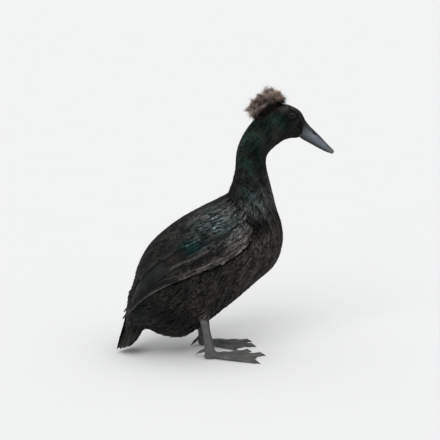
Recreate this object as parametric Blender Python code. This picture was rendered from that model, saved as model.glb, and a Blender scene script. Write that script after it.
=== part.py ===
"""A crested duck standing at rest, life size, in black plumage with a brown pom of a crest.

Metres, +Z up, the bill towards +X and the right side towards -Y. The origin lies on the floor,
in the middle of the bird's length. Lengths whose names end in _MM, and those in the tables of
stations, are in millimetres, and MM turns them into metres.
"""

import math
import random

import bmesh
import bpy
from mathutils import Matrix, Vector

MM = 0.001
GAP = 0.3 * MM
RIGHT, LEFT = -1, 1
SIDES = {"right": RIGHT, "left": LEFT}
PARTS, CUTTERS = "crested_duck", "cutters"

# Stations along the body: the top point and the bottom point of each section (x, z), and half its
# width. The first one only guides the folded wings past the end of the rump.
STATIONS = [
    ((-171, 70), (-147, 12), 22),
    ((-146, 101), (-122, 39), 27),
    ((-135, 133), (-95, 31), 40),
    ((-117, 167), (-60, 30), 51),
    ((-94, 195), (-21, 56), 58.5),
    ((-64, 219), (17, 86), 61.5),
    ((-30, 238), (54, 119), 61.5),
    ((-5, 249), (81, 145), 58.5),
    ((6, 256), (92, 176), 52.5),
    ((10, 264), (91, 205), 44),
    ((13, 271), (83, 230), 36),
    ((15, 279), (78, 249), 29.5),
    ((18, 293), (71, 276), 24.5),
    ((19, 310), (66, 299), 22.5),
    ((21, 324), (67, 313), 21.5),
    ((26, 338), (74, 323), 21),
    ((33, 351), (83, 331), 21),
    ((44, 366), (92, 337), 21.5),
    ((59, 381), (100, 340), 22),
    ((77, 391), (107, 341), 21.5),
    ((94, 393), (113, 341), 20.5),
    ((108, 388), (117, 343), 18),
    ((118, 381), (119.5, 345), 15.5),
    ((125, 368.5), (117, 342), 12),
]
RUMP_END = 1
NECK_BASE = 10
NECK_TOP = 16.5
BILL_BASE = len(STATIONS) - 1
SECTION_POWER = 2.15
BELLY_WEIGHT = 0.08
BODY_SIDES = 28
TORSO_RINGS, NECK_RINGS, HEAD_RINGS = 17, 8, 11

EYE_AT_MM = (103.5, 15.4, 376.5)
EYE_RADIUS_MM = 5.2
LID_OFFSET_MM = 4.0
LID_RADIUS_MM = 4.6
LID_THICKNESS_MM = 0.95
LID_SQUASH = 0.86

# The bill's stations: the ridge (x, z), the mouth line (x, z), half the width of the upper bill,
# and the underside (x, z) of the lower bill.
BILL_STATIONS = [
    ((125.4, 367.6), (118.2, 343.6), 10.8, (116.9, 341.8)),
    ((129.9, 361.4), (122.4, 341.4), 10.4, (121.4, 338.4)),
    ((137.0, 354.2), (129.8, 337.8), 9.8, (128.6, 334.6)),
    ((145.1, 346.4), (138.6, 332.9), 9.8, (137.4, 329.8)),
    ((152.5, 338.7), (147.0, 327.9), 10.6, (145.9, 325.2)),
    ((160.3, 330.5), (155.3, 323.2), 11.2, (154.3, 321.0)),
    ((165.6, 325.4), (161.8, 320.1), 9.4, (160.8, 318.6)),
    ((168.6, 321.4), (165.9, 318.0), 6.0, (164.2, 317.3)),
    ((169.2, 319.2), (167.6, 316.8), 2.4, (166.0, 316.6)),
]
BILL_RINGS = 11
LOWER_BILL_WIDTH = 0.88
NOSTRIL_AT_MM = (138.5, 6.6, 348.5)
NOSTRIL_RADII_MM = (3.6, 1.9, 1.4)
NOSTRIL_SLOPE = math.radians(42)

# The crest is two rounded lobes, one behind the other. Each has a root that its locks grow from,
# the middle and the radius of its outline, the way its crown points, and its rings of locks.
CREST_LOBES = {
    "front": {
        "root": (73, 0, 394),
        "middle": (77, 0, 402.5),
        "radius": 17.5,
        "crown": (0.25, 0, 0.97),
        "rings": 4,
    },
    "rear": {
        "root": (57, 0, 388),
        "middle": (52, 0, 389.5),
        "radius": 17.5,
        "crown": (-0.5, 0, 0.87),
        "rings": 5,
    },
}
CREST_WIDTH = 1.25
CREST_CORE_AT_MM = (65, 0, 391)
CREST_CORE_RADII_MM = (16, 10, 10)
CREST_CORE_PITCH = math.radians(-18)
# Rings of locks from the crown down: how far a ring's locks lean from the crown, and their number.
CREST_RINGS = [
    (math.radians(8), 3),
    (math.radians(36), 7),
    (math.radians(64), 9),
    (math.radians(92), 10),
    (math.radians(118), 9),
]
CREST_SEED = 7
# Along a lock: the share of its length, of the way out to the crest's outline, and its width.
LOCK_PLACES = (0.0, 0.36, 0.72, 1.0)
LOCK_REACHES = (0.15, 0.72, 0.95, 1.0)
LOCK_WIDTHS_MM = (4.0, 10.5, 10.0, 2.4)
LOCK_SWEEP = 0.95
LOCK_TILT = 0.3
LOCK_THICKNESS_MM = 0.7

FEATHER_PLACES = (0.0, 0.3, 0.62, 0.88, 1.0)
FEATHER_WIDTHS = (0.6, 0.95, 1.0, 0.8, 0.22)
FEATHER_THICKNESS_MM = 0.6

# The tiers of a folded wing. Root and tip are places: along the stations, and as a share of the
# way from the back (0) to the belly (1). The tier's feathers run from the first pair of places to
# the last one. A lift is the height over the body in mm, at the root and along the vane.
WING_TIERS = {
    "primaries": {
        "count": 6,
        "roots": ((4.9, 0.555), (4.9, 0.38)),
        "tips": ((0.2, 0.35), (1.75, 0.25)),
        "lifts": ((3.0, 3.0), (3.6, 5.6)),
        "width": 13,
        "tilt": 0.15,
    },
    "secondaries": {
        "count": 5,
        "roots": ((5.4, 0.53), (5.4, 0.36)),
        "tips": ((3.0, 0.50), (3.9, 0.31)),
        "lifts": ((5.2, 6.4), (6.4, 8.2)),
        "width": 15,
        "tilt": 0.15,
    },
    "tertials": {
        "count": 4,
        "roots": ((5.2, 0.31), (5.2, 0.10)),
        "tips": ((1.2, 0.26), (2.9, 0.085)),
        "lifts": ((6.6, 8.1), (1.6, 6.1)),
        "width": 17,
        "tilt": 0.19,
    },
    "greater_coverts": {
        "count": 5,
        "roots": ((6.3, 0.54), (6.3, 0.34)),
        "tips": ((4.4, 0.51), (4.5, 0.31)),
        "lifts": ((7.0, 9.2), (7.8, 11.0)),
        "width": 14,
        "tilt": 0.15,
    },
    "scapulars": {
        "count": 4,
        "roots": ((6.7, 0.31), (6.3, 0.11)),
        "tips": ((3.9, 0.28), (3.5, 0.09)),
        "lifts": ((8.0, 11.4), (2.0, 9.2)),
        "width": 17,
        "tilt": 0.19,
    },
}
# The wing's fleshy front: its place, then the shares where its lower and upper edges lie.
WING_CORE = [
    (4.3, 0.575, 0.075),
    (5.0, 0.61, 0.075),
    (6.0, 0.62, 0.09),
    (7.0, 0.57, 0.16),
    (7.45, 0.5, 0.27),
    (7.65, 0.43, 0.36),
]
WING_CORE_LIFT_MM = 9.6
WING_CORE_EDGE_LIFT_MM = 1.4
WING_CORE_SINK_MM = 5
WING_CORE_STEPS, WING_CORE_ACROSS = 7, 6

# The tail's feathers: the root and the tip (x, y, z) of the middle one and of the outermost one.
TAIL_FEATHERS = 5
TAIL_ROOTS_MM = ((-146, 0, 84), (-135, 13, 52))
TAIL_TIPS_MM = ((-167.5, 0, 5.5), (-146, 20.5, 13.5))
TAIL_STEP_MM = 0.95
TAIL_BOW_MM = 4
TAIL_WIDTH_MM = 14
TAIL_TILT = 0.04
TAIL_COVERTS = 2
TAIL_COVERT_LENGTH = 0.58
TAIL_COVERT_RISE_MM = 1.6
TAIL_CORE_REACH = 0.46

THIGH_TOP_MM = (-14, 41, 112)
HOCK_MM = (-30, 38, 66)
FOOT_JOINT_MM = (-22, 36, 21.5)
# The share of the way down to the hock, and the radii fore and aft and across.
THIGH_STATIONS = [
    (0, 19, 15),
    (0.25, 21, 16),
    (0.5, 18, 14),
    (0.72, 13, 10.5),
    (0.9, 9, 7.5),
    (1, 8, 6.5),
]
SHANK_RADII_MM = (6.0, 4.3)
SHANK_SWELL_MM = (1.6, 1.5)

# Each toe: its heading from straight ahead (outwards is positive), its length and its radius.
TOES = {
    RIGHT: {"outer": (20, 72, 4.2), "middle": (-10, 78, 4.6), "inner": (-31, 66, 4.0)},
    LEFT: {"outer": (11, 70, 4.2), "middle": (-10, 76, 4.6), "inner": (-34, 56, 4.0)},
}
HEEL_MM = {RIGHT: (-21, -35), LEFT: (-32, 41)}
HALLUX_TIP_HEIGHT_MM = {RIGHT: 9.5, LEFT: 4.0}
TOE_STEPS = 9
KNUCKLES = 3
KNUCKLE_MM = 0.55
WEB_THICKNESS_MM = 1.4
WEB_REACH = 0.93
WEB_SCALLOP = 0.16
CLAW_LENGTH_MM = 6.5


def clear_scene():
    for obj in list(bpy.data.objects):
        bpy.data.objects.remove(obj)
    for name in (PARTS, CUTTERS):
        group = bpy.data.collections.new(name)
        bpy.context.scene.collection.children.link(group)


def material(name, colour, roughness):
    made = bpy.data.materials.new(name)
    made.use_nodes = True
    shader = made.node_tree.nodes["Principled BSDF"]
    shader.inputs["Base Color"].default_value = (*colour, 1)
    shader.inputs["Roughness"].default_value = roughness
    shader.inputs["Metallic"].default_value = 0
    return made


def in_group(obj, look=None):
    """Puts an object among the parts if it has a look, and among the cutters if not."""
    for group in obj.users_collection:
        group.objects.unlink(obj)
    if look:
        obj.data.materials.append(look)
        bpy.data.collections[PARTS].objects.link(obj)
    else:
        obj.hide_render = True
        obj.display_type = "WIRE"
        bpy.data.collections[CUTTERS].objects.link(obj)
    return obj


def finished(bm, name, look=None):
    """Makes an object of a bmesh, with its faces pointing out."""
    bmesh.ops.recalc_face_normals(bm, faces=bm.faces)
    mesh = bpy.data.meshes.new(name)
    bm.to_mesh(mesh)
    bm.free()
    return in_group(bpy.data.objects.new(name, mesh), look)


def mix(first, last, share):
    return [a + (b - a) * share for a, b in zip(first, last)]


def mirrored(point_mm, side):
    x, y, z = point_mm
    return Vector((x, y * side, z)) * MM


def curve_through(rows, at):
    """The row at a fractional place in a list of rows, on a smooth curve through them all."""
    last = len(rows) - 1
    start = max(0, min(math.floor(at), last - 1))
    t = at - start
    p0, p1, p2, p3 = (rows[max(0, min(i, last))] for i in range(start - 1, start + 3))
    found = []
    for a, b, c, d in zip(p0, p1, p2, p3):
        bend = (2 * a - 5 * b + 4 * c - d) * t**2 + (3 * b - a - 3 * c + d) * t**3
        found.append(b + ((c - a) * t + bend) / 2)
    return found


BODY_ROWS = [(*top, *bottom, half) for top, bottom, half in STATIONS]
BILL_ROWS = [(*ridge, *mouth, half, *under) for ridge, mouth, half, under in BILL_STATIONS]


def signed_power(value, power):
    return math.copysign(abs(value) ** power, value)


def section(place):
    """A section's middle, the way from there up to the back, and half its width."""
    top_x, top_z, low_x, low_z, half = curve_through(BODY_ROWS, place)
    centre = Vector((top_x + low_x, 0, top_z + low_z)) * MM / 2
    up = Vector((top_x - low_x, 0, top_z - low_z)) * MM / 2
    return centre, up, half * MM


def section_way(place):
    """The direction that a section of the body faces, towards the bill."""
    up = section(place)[1]
    return Vector((up.z, 0, -up.x)).normalized()


def body_point(place, angle, lift=0.0):
    """A point of the coat: a place along the stations, and an angle from the back (0) round the
    left side to the belly (pi), lifted off the surface."""
    centre, up, half = section(place)
    rise = signed_power(math.cos(angle), 2 / SECTION_POWER)
    side = signed_power(math.sin(angle), 2 / SECTION_POWER)
    point = centre + up * (rise - BELLY_WEIGHT * side**2) + Vector((0, half * side, 0))
    if lift:
        point += body_normal(place, angle) * lift
    return point


def body_normal(place, angle):
    step = 0.02
    along = body_point(place + step, angle) - body_point(place - step, angle)
    around = body_point(place, angle + step) - body_point(place, angle - step)
    return along.cross(around).normalized()


def angle_at(share):
    """The angle from the back of a point this share of the way down to the belly."""
    return math.acos(1 - 2 * share)


def loft(name, rings, look=None):
    """A closed solid through rings of points, with a flat cap at each end."""
    bm = bmesh.new()
    lines = [[bm.verts.new(point) for point in ring] for ring in rings]
    count = len(rings[0])
    for first, second in zip(lines, lines[1:]):
        for i in range(count):
            j = (i + 1) % count
            bm.faces.new((first[i], first[j], second[j], second[i]))
    bm.faces.new(lines[0])
    bm.faces.new(lines[-1])
    return finished(bm, name, look)


def blade(name, spine, widths, thickness, tilt=0.0):
    """A thin closed vane along a spine of (point, lateral way, normal) rows. Both of its faces are
    split into triangles alike. The tilt raises its lateral edge."""
    bm = bmesh.new()
    lines = []
    for (point, lateral, normal), width in zip(spine, widths):
        reach = (lateral + normal * tilt) * (width / 2)
        half = normal * (thickness / 2)
        corners = (reach + half, half - reach, -reach - half, reach - half)
        lines.append([bm.verts.new(point + corner) for corner in corners])
    for first, second in zip(lines, lines[1:]):
        for i, j in ((0, 1), (3, 2), (0, 3), (1, 2)):
            bm.faces.new((first[i], first[j], second[j]))
            bm.faces.new((first[i], second[j], second[i]))
    bm.faces.new(lines[0])
    bm.faces.new(lines[-1])
    return finished(bm, name)


def spine_of(points, normals, side=LEFT):
    """Rows for a blade along points that lie under the given normals."""
    rows = []
    last = len(points) - 1
    for i, (point, normal) in enumerate(zip(points, normals)):
        way = (points[min(i + 1, last)] - points[max(i - 1, 0)]).normalized()
        lateral = way.cross(normal).normalized() * side
        rows.append((point, lateral, way.cross(lateral).normalized() * -side))
    return rows


def ellipsoid(name, centre, radii, segments=16, rings=10, turn=None, look=None):
    bm = bmesh.new()
    bmesh.ops.create_uvsphere(bm, u_segments=segments, v_segments=rings, radius=1)
    shape = Matrix.Diagonal((*radii, 1))
    if turn:
        shape = turn @ shape
    bmesh.ops.transform(bm, matrix=Matrix.Translation(centre) @ shape, verts=bm.verts)
    return finished(bm, name, look)


def column(name, rows, look=None, count=14):
    """A solid of level rings: each row is a centre, and the radii fore and aft and across."""
    rings = []
    for centre, fore, across in rows:
        ring = []
        for k in range(count):
            angle = 2 * math.pi * k / count
            ring.append(centre + Vector((fore * math.cos(angle), across * math.sin(angle), 0)))
        rings.append(ring)
    return loft(name, rings, look)


def tube(name, path, radii, look=None, count=7):
    """A closed tube along a path that isn't upright, with its radii across and up at each point."""
    rings = []
    last = len(path) - 1
    for i, (centre, (across, high)) in enumerate(zip(path, radii)):
        way = (path[min(i + 1, last)] - path[max(i - 1, 0)]).normalized()
        side = way.cross(Vector((0, 0, 1))).normalized()
        up = side.cross(way)
        ring = []
        for k in range(count):
            angle = 2 * math.pi * k / count
            ring.append(centre + side * across * math.cos(angle) + up * high * math.sin(angle))
        rings.append(ring)
    return loft(name, rings, look)


def apply_boolean(obj, operation, other=None, group=None, solver="EXACT"):
    step = obj.modifiers.new(operation.title(), "BOOLEAN")
    step.operation = operation
    step.solver = solver
    if group:
        step.operand_type = "COLLECTION"
        step.collection = group
    else:
        step.object = other
    graph = bpy.context.evaluated_depsgraph_get()
    made = bpy.data.meshes.new_from_object(obj.evaluated_get(graph))
    obj.modifiers.clear()
    obj.data = made


def fuse(obj, pieces):
    """Joins closed pieces to obj in one union, and removes them."""
    group = bpy.data.collections.new(obj.name + "_pieces")
    for piece in pieces:
        group.objects.link(piece)
    apply_boolean(obj, "UNION", group=group, solver="MANIFOLD")
    for piece in pieces:
        bpy.data.objects.remove(piece)
    bpy.data.collections.remove(group)


def cut(obj, cutter, solver="EXACT"):
    apply_boolean(obj, "DIFFERENCE", other=cutter, solver=solver)
    bpy.data.objects.remove(cutter)


def surface_from(face):
    """All the faces that hang together with one."""
    found, waiting = {face}, [face]
    while waiting:
        for edge in waiting.pop().edges:
            for other in edge.link_faces:
                if other not in found:
                    found.add(other)
                    waiting.append(other)
    return found


def keep_largest(obj):
    """Drops all but the largest closed surface, so a sealed hollow fills and a scrap goes."""
    bm = bmesh.new()
    bm.from_mesh(obj.data)
    left, surfaces = set(bm.faces), []
    while left:
        surface = surface_from(next(iter(left)))
        left -= surface
        surfaces.append(surface)
    surfaces.sort(key=lambda faces: sum(face.calc_area() for face in faces))
    for surface in surfaces[:-1]:
        bmesh.ops.delete(bm, geom=list(surface), context="FACES")
    bm.to_mesh(obj.data)
    bm.free()


def smooth(obj, degrees=50):
    obj.data.shade_smooth()
    obj.data.set_sharp_from_angle(angle=math.radians(degrees))


def body_rings(first, last, count, lift=0.0, start_shift=0.0):
    rings = []
    for i in range(count + 1):
        place = first + (last - first) * i / count
        shift = section_way(place) * (start_shift if i == 0 else 0.0)
        ring = []
        for k in range(BODY_SIDES):
            ring.append(body_point(place, 2 * math.pi * k / BODY_SIDES, lift) + shift)
        rings.append(ring)
    return rings


def torso_room():
    """The torso grown by a little more than the gap, to cut what lies on it."""
    return loft("torso_room", body_rings(RUMP_END, NECK_BASE, TORSO_RINGS, GAP * 1.3))


def make_torso(look):
    obj = loft("torso", body_rings(RUMP_END, NECK_BASE, TORSO_RINGS), look)
    for side in SIDES.values():
        cut(obj, thigh_solid("thigh_room", side, GAP))
        cut(obj, shank_solid("shank_room", side, GAP))
    keep_largest(obj)
    smooth(obj)


def make_neck(look):
    obj = loft("neck", body_rings(NECK_BASE, NECK_TOP, NECK_RINGS, start_shift=GAP), look)
    smooth(obj)


def lid_ring(side):
    """The two lids as one raised rim, a little longer than it is high."""
    bpy.ops.mesh.primitive_torus_add(
        major_radius=LID_RADIUS_MM * MM,
        minor_radius=LID_THICKNESS_MM * MM,
        major_segments=14,
        minor_segments=5,
        location=mirrored(EYE_AT_MM, side) + Vector((0, side * LID_OFFSET_MM * MM, 0)),
        rotation=(math.pi / 2, 0, 0),
    )
    lid = bpy.context.object
    lid.scale = (1, LID_SQUASH, 1)
    bpy.ops.object.transform_apply(location=True, rotation=True, scale=True)
    return in_group(lid)


def make_head(look):
    obj = loft("head", body_rings(NECK_TOP, BILL_BASE, HEAD_RINGS, start_shift=GAP), look)
    fuse(obj, [lid_ring(side) for side in SIDES.values()])
    for side in SIDES.values():
        room = (EYE_RADIUS_MM * MM + GAP,) * 3
        cut(obj, ellipsoid("eye_room", mirrored(EYE_AT_MM, side), room, 12, 8))
    keep_largest(obj)
    smooth(obj)


def make_eye(name, side, look):
    radii = (EYE_RADIUS_MM * MM,) * 3
    smooth(ellipsoid(name, mirrored(EYE_AT_MM, side), radii, 12, 8, look=look))


def bill_ring(place, lower):
    """Half a ring above the mouth line, or a shallower one below it."""
    ridge_x, ridge_z, mouth_x, mouth_z, half, under_x, under_z = curve_through(BILL_ROWS, place)
    mouth = Vector((mouth_x, 0, mouth_z)) * MM
    crown = Vector((ridge_x, 0, ridge_z)) * MM
    count, width, roundness = 16, half * MM, 0.85
    if lower:
        crown = Vector((under_x, 0, under_z)) * MM
        mouth += (crown - mouth).normalized() * GAP * 1.3
        count, width, roundness = 12, half * MM * LOWER_BILL_WIDTH, 0.7
    points = []
    for i in range(count + 1):
        angle = math.pi * i / count
        across = signed_power(math.cos(angle), 0.9) * width
        rise = math.sin(angle) ** roundness if 0 < i < count else 0
        points.append(mouth + (crown - mouth) * rise + Vector((0, across, 0)))
    return points


def make_bill(name, lower, look):
    last = len(BILL_STATIONS) - 1
    shift = section_way(BILL_BASE) * GAP
    rings = []
    for i in range(BILL_RINGS + 1):
        rings.append([point + shift for point in bill_ring(last * i / BILL_RINGS, lower)])
    obj = loft(name, rings, look)
    if not lower:
        for side in SIDES.values():
            radii = [radius * MM for radius in NOSTRIL_RADII_MM]
            slope = Matrix.Rotation(NOSTRIL_SLOPE, 4, "Y")
            cut(obj, ellipsoid("nostril", mirrored(NOSTRIL_AT_MM, side), radii, 12, 8, slope))
    keep_largest(obj)
    smooth(obj, 40)


def lobe_depth(lobe, point_mm):
    """How far a point is from a lobe's middle, as a share of the way to the lobe's outline."""
    offset = Vector(point_mm) - Vector(lobe["middle"])
    offset.y /= CREST_WIDTH
    return offset.length / lobe["radius"]


def lobe_reach(lobe, way):
    """How far, in mm, a lobe's outline lies from its root along a direction."""
    narrow = Vector((way.x, way.y / CREST_WIDTH, way.z))
    offset = Vector(lobe["root"]) - Vector(lobe["middle"])
    b = narrow.dot(offset) / narrow.length_squared
    c = (offset.length_squared - lobe["radius"] ** 2) / narrow.length_squared
    return math.sqrt(b * b - c) - b


def lobe_way(lobe, lean, turn):
    """A direction out of a lobe's root, by its lean from the crown and its turn round it."""
    flat = math.sin(lean)
    way = Vector((math.cos(turn) * flat, math.sin(turn) * flat, math.cos(lean)))
    way.rotate(Vector((0, 0, 1)).rotation_difference(Vector(lobe["crown"])))
    return way


def lock_spine(lobe, lean, turn, chance):
    """Out of the lobe's root, then bending over to lie along its outline."""
    longer = chance.uniform(-0.05, 0.08)
    swing = chance.uniform(-0.12, 0.12)
    lean += chance.uniform(-0.04, 0.04)
    points, normals = [], []
    for t, share in zip(LOCK_PLACES, LOCK_REACHES):
        along = lean + LOCK_SWEEP * (t - 0.5)
        way = lobe_way(lobe, along, turn + swing * t**2)
        reach = lobe_reach(lobe, way) * (share + longer * t**2)
        points.append((Vector(lobe["root"]) + way * reach) * MM)
        normals.append(lobe_way(lobe, along - math.pi / 4, turn))
    return points, normals


def lobe_locks(lobe, other, chance):
    """A lobe's locks, without those that would lie inside the other lobe."""
    locks = []
    for ring, (lean, count) in enumerate(CREST_RINGS[: lobe["rings"]]):
        for i in range(count):
            turn = 2 * math.pi * (i + ring / 2 + chance.uniform(-0.07, 0.07)) / count
            points, normals = lock_spine(lobe, lean, turn, chance)
            widths = [width * MM * chance.uniform(0.92, 1.08) for width in LOCK_WIDTHS_MM]
            if lobe_depth(other, points[2] / MM) > 0.95:
                spine = spine_of(points, normals)
                locks.append(blade("lock", spine, widths, LOCK_THICKNESS_MM * MM, LOCK_TILT))
    return locks


def make_crest(look):
    chance = random.Random(CREST_SEED)
    front, rear = CREST_LOBES["front"], CREST_LOBES["rear"]
    radii = [radius * MM for radius in CREST_CORE_RADII_MM]
    pitch = Matrix.Rotation(CREST_CORE_PITCH, 4, "Y")
    obj = ellipsoid("crest", Vector(CREST_CORE_AT_MM) * MM, radii, 14, 8, pitch, look)
    fuse(obj, lobe_locks(front, rear, chance) + lobe_locks(rear, front, chance))
    room = body_rings(NECK_TOP - 3, BILL_BASE, 2 * HEAD_RINGS, GAP * 2)
    cut(obj, loft("head_room", room), solver="MANIFOLD")
    keep_largest(obj)
    smooth(obj)


def wing_core(name, side, look):
    """The wing's front, where its bones and small coverts lie, half way to its tip."""
    rings = []
    steps, across = WING_CORE_STEPS, WING_CORE_ACROSS
    for i in range(steps + 1):
        place, low, high = curve_through(WING_CORE, (len(WING_CORE) - 1) * i / steps)
        outer, inner = [], []
        for k in range(across + 1):
            share = low + (high - low) * k / across
            angle = side * angle_at(share)
            swell = (math.sin(math.pi * k / across) * min(1, (1 - i / steps) * 3 + 0.15)) ** 0.45
            rise = WING_CORE_LIFT_MM - WING_CORE_EDGE_LIFT_MM
            lift = WING_CORE_EDGE_LIFT_MM + rise * (swell if 0 < k < across else 0)
            outer.append(body_point(place, angle, lift * MM))
            inner.append(body_point(place, angle, -WING_CORE_SINK_MM * MM))
        rings.append(outer + inner[::-1])
    obj = loft(name, rings, look)
    cut(obj, torso_room())
    return obj


def wing_feather(side, root, tip, lifts, width, tilt):
    points, normals = [], []
    for t in FEATHER_PLACES:
        place, share = mix(root, tip, t)
        lift = lifts[0] + (lifts[1] - lifts[0]) * min(1, t / 0.4)
        angle = side * angle_at(share)
        points.append(body_point(place, angle, lift * MM))
        normals.append(body_normal(place, angle))
    widths = [width * MM * w for w in FEATHER_WIDTHS]
    return blade("feather", spine_of(points, normals, side), widths, FEATHER_THICKNESS_MM * MM, tilt)


def make_wing(name, side, look):
    obj = wing_core(name, side, look)
    feathers = []
    for tier in WING_TIERS.values():
        for i in range(tier["count"]):
            share = i / (tier["count"] - 1)
            root, tip, lifts = (mix(*tier[key], share) for key in ("roots", "tips", "lifts"))
            feathers.append(wing_feather(side, root, tip, lifts, tier["width"], tier["tilt"]))
    fuse(obj, feathers)
    keep_largest(obj)
    smooth(obj)


def tail_core(look):
    """The rump's stump, which the roots of the tail's feathers stand in."""
    centre, up, half = section(RUMP_END)
    shift = section_way(RUMP_END) * -GAP
    end = Vector(mix(TAIL_ROOTS_MM[0], TAIL_TIPS_MM[0], TAIL_CORE_REACH + 0.1)) * MM
    low_end = Vector(mix(TAIL_ROOTS_MM[1], TAIL_TIPS_MM[1], TAIL_CORE_REACH)) * MM
    low_end.y = 0
    rings = []
    for i in range(5):
        t = i / 4
        middle = centre.lerp((end + low_end) / 2, t)
        rise = up.lerp((end - low_end) / 2, t) * (0.93 - 0.25 * t**3)
        wide = (half + (0.014 - half) * t) * 0.93
        ring = []
        for k in range(20):
            angle = 2 * math.pi * k / 20
            ring.append(middle + rise * math.cos(angle) + Vector((0, wide * math.sin(angle), 0)) + shift)
        rings.append(ring)
    return loft("tail", rings, look)


def tail_feather(across, side, length=1.0, lift=0.0, width=TAIL_WIDTH_MM):
    """A feather of the fan, from the middle one (0) to the outermost one (1) on a side."""
    root = Vector(mix(*TAIL_ROOTS_MM, across)) * MM
    tip = Vector(mix(*TAIL_TIPS_MM, across)) * MM
    nearby = Vector(mix(*TAIL_TIPS_MM, across + 0.1)) * MM
    out = (tip - root).cross(nearby - tip).normalized()
    tip = root.lerp(tip, length)
    points = []
    for t in FEATHER_PLACES:
        bow = Vector((TAIL_BOW_MM * math.sin(math.pi * t * length) * MM, 0, 0))
        points.append(root.lerp(tip, t) + bow + out * lift * MM)
    for vector in (*points, out):
        vector.y *= side
    widths = [width * MM * w for w in FEATHER_WIDTHS]
    spine = spine_of(points, [out] * len(points), side)
    return blade("tail_feather", spine, widths, FEATHER_THICKNESS_MM * MM, TAIL_TILT)


def make_tail(look):
    obj = tail_core(look)
    feathers = [tail_feather(0, LEFT)]
    feathers.append(tail_feather(0, LEFT, TAIL_COVERT_LENGTH, TAIL_COVERT_RISE_MM))
    for side in SIDES.values():
        for i in range(1, TAIL_FEATHERS + 1):
            feathers.append(tail_feather(i / TAIL_FEATHERS, side, lift=-TAIL_STEP_MM * i))
        for i in range(1, TAIL_COVERTS + 1):
            across = i / (TAIL_COVERTS + 1)
            lift = TAIL_COVERT_RISE_MM - TAIL_STEP_MM * TAIL_FEATHERS * across
            feathers.append(tail_feather(across, side, TAIL_COVERT_LENGTH, lift))
    fuse(obj, feathers)
    keep_largest(obj)
    smooth(obj)


def leg_points(side):
    """The middles of the thigh's top, the hock and the foot's joint."""
    top, hock, joint = (mirrored(point, side) for point in (THIGH_TOP_MM, HOCK_MM, FOOT_JOINT_MM))
    if side == LEFT:
        back = HEEL_MM[LEFT][0] - HEEL_MM[RIGHT][0]
        out = HEEL_MM[LEFT][1] + HEEL_MM[RIGHT][1]
        step = Vector((back, out, 0)) * MM
        top += step / 2
        hock += step
        joint += step
    return top, hock, joint


def thigh_solid(name, side, grow=0.0, look=None):
    top, hock, _ = leg_points(side)
    rows = []
    for share, fore, across in THIGH_STATIONS:
        rows.append((top.lerp(hock, share), fore * MM + grow, across * MM + grow))
    if grow:
        rows.insert(0, (top + Vector((0, 0, grow)), rows[0][1], rows[0][2]))
    return column(name, rows, look, 16)


def shank_radii(share):
    """The radii fore and aft and across, from the hock (0) to the foot's joint (1)."""
    swell = math.cos(math.pi * share) ** 2
    return [(radius + swell * more) * MM for radius, more in zip(SHANK_RADII_MM, SHANK_SWELL_MM)]


def shank_solid(name, side, grow=0.0, look=None):
    _, hock, joint = leg_points(side)
    top = hock - Vector((0, 0, GAP))
    rows = []
    for i in range(9):
        fore, across = shank_radii(i / 8)
        rows.append((top.lerp(joint, i / 8), fore + grow, across + grow))
    if grow:
        rows.insert(0, (hock + Vector((0, 0, 2 * grow)), rows[0][1], rows[0][2]))
    return column(name, rows, look)


def toe_path(side, toe):
    """The points along a toe, and its radii across and up, with a swelling at each knuckle."""
    heading, length, radius = TOES[side][toe]
    turn = math.radians(heading) * side
    way = Vector((math.cos(turn), math.sin(turn), 0))
    start = Vector((HEEL_MM[side][0] + 4, HEEL_MM[side][1], 0)) * MM
    points, radii = [], []
    for i in range(TOE_STEPS + 1):
        share = i / TOE_STEPS
        between = 0.5 - 0.5 * math.cos(2 * math.pi * KNUCKLES * share)
        size = (radius * (1.12 - 0.36 * share) - KNUCKLE_MM * between) * MM
        height = size * 0.82 + 3.4 * MM * (1 - share) ** 3
        points.append(start + way * length * share * MM + Vector((0, 0, height)))
        radii.append((size * 0.95, size))
    return points, radii


def hallux_path(side):
    heel = Vector((*HEEL_MM[side], 0)) * MM
    root = heel + Vector((-4, side * -1.5, 15)) * MM
    tip = heel + Vector((-16.5, side * -4, HALLUX_TIP_HEIGHT_MM[side])) * MM
    points = [root.lerp(tip, i / 4) for i in range(5)]
    return points, [(radius * MM, radius * MM) for radius in (3.0, 2.9, 2.6, 2.5, 1.9)]


def web(side, first, second):
    """The skin between two toes, with a scalloped front edge."""
    paths = [[tuple(point) for point in toe_path(side, toe)[0]] for toe in (first, second)]
    steps, across = 5, 3
    half = Vector((0, 0, WEB_THICKNESS_MM * MM / 2))
    rings = []
    for i in range(steps + 1):
        row = []
        for k in range(across + 1):
            share = k / across
            dip = math.sin(math.pi * share)
            reach = i / steps * WEB_REACH * (1 - WEB_SCALLOP * dip) * TOE_STEPS
            a, b = (Vector(curve_through(path, reach)) for path in paths)
            point = a.lerp(b, share)
            point.z = point.z * 0.72 - 0.6 * MM * dip
            row.append(point)
        rings.append([point + half for point in row] + [point - half for point in row[::-1]])
    return loft("web", rings)


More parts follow.
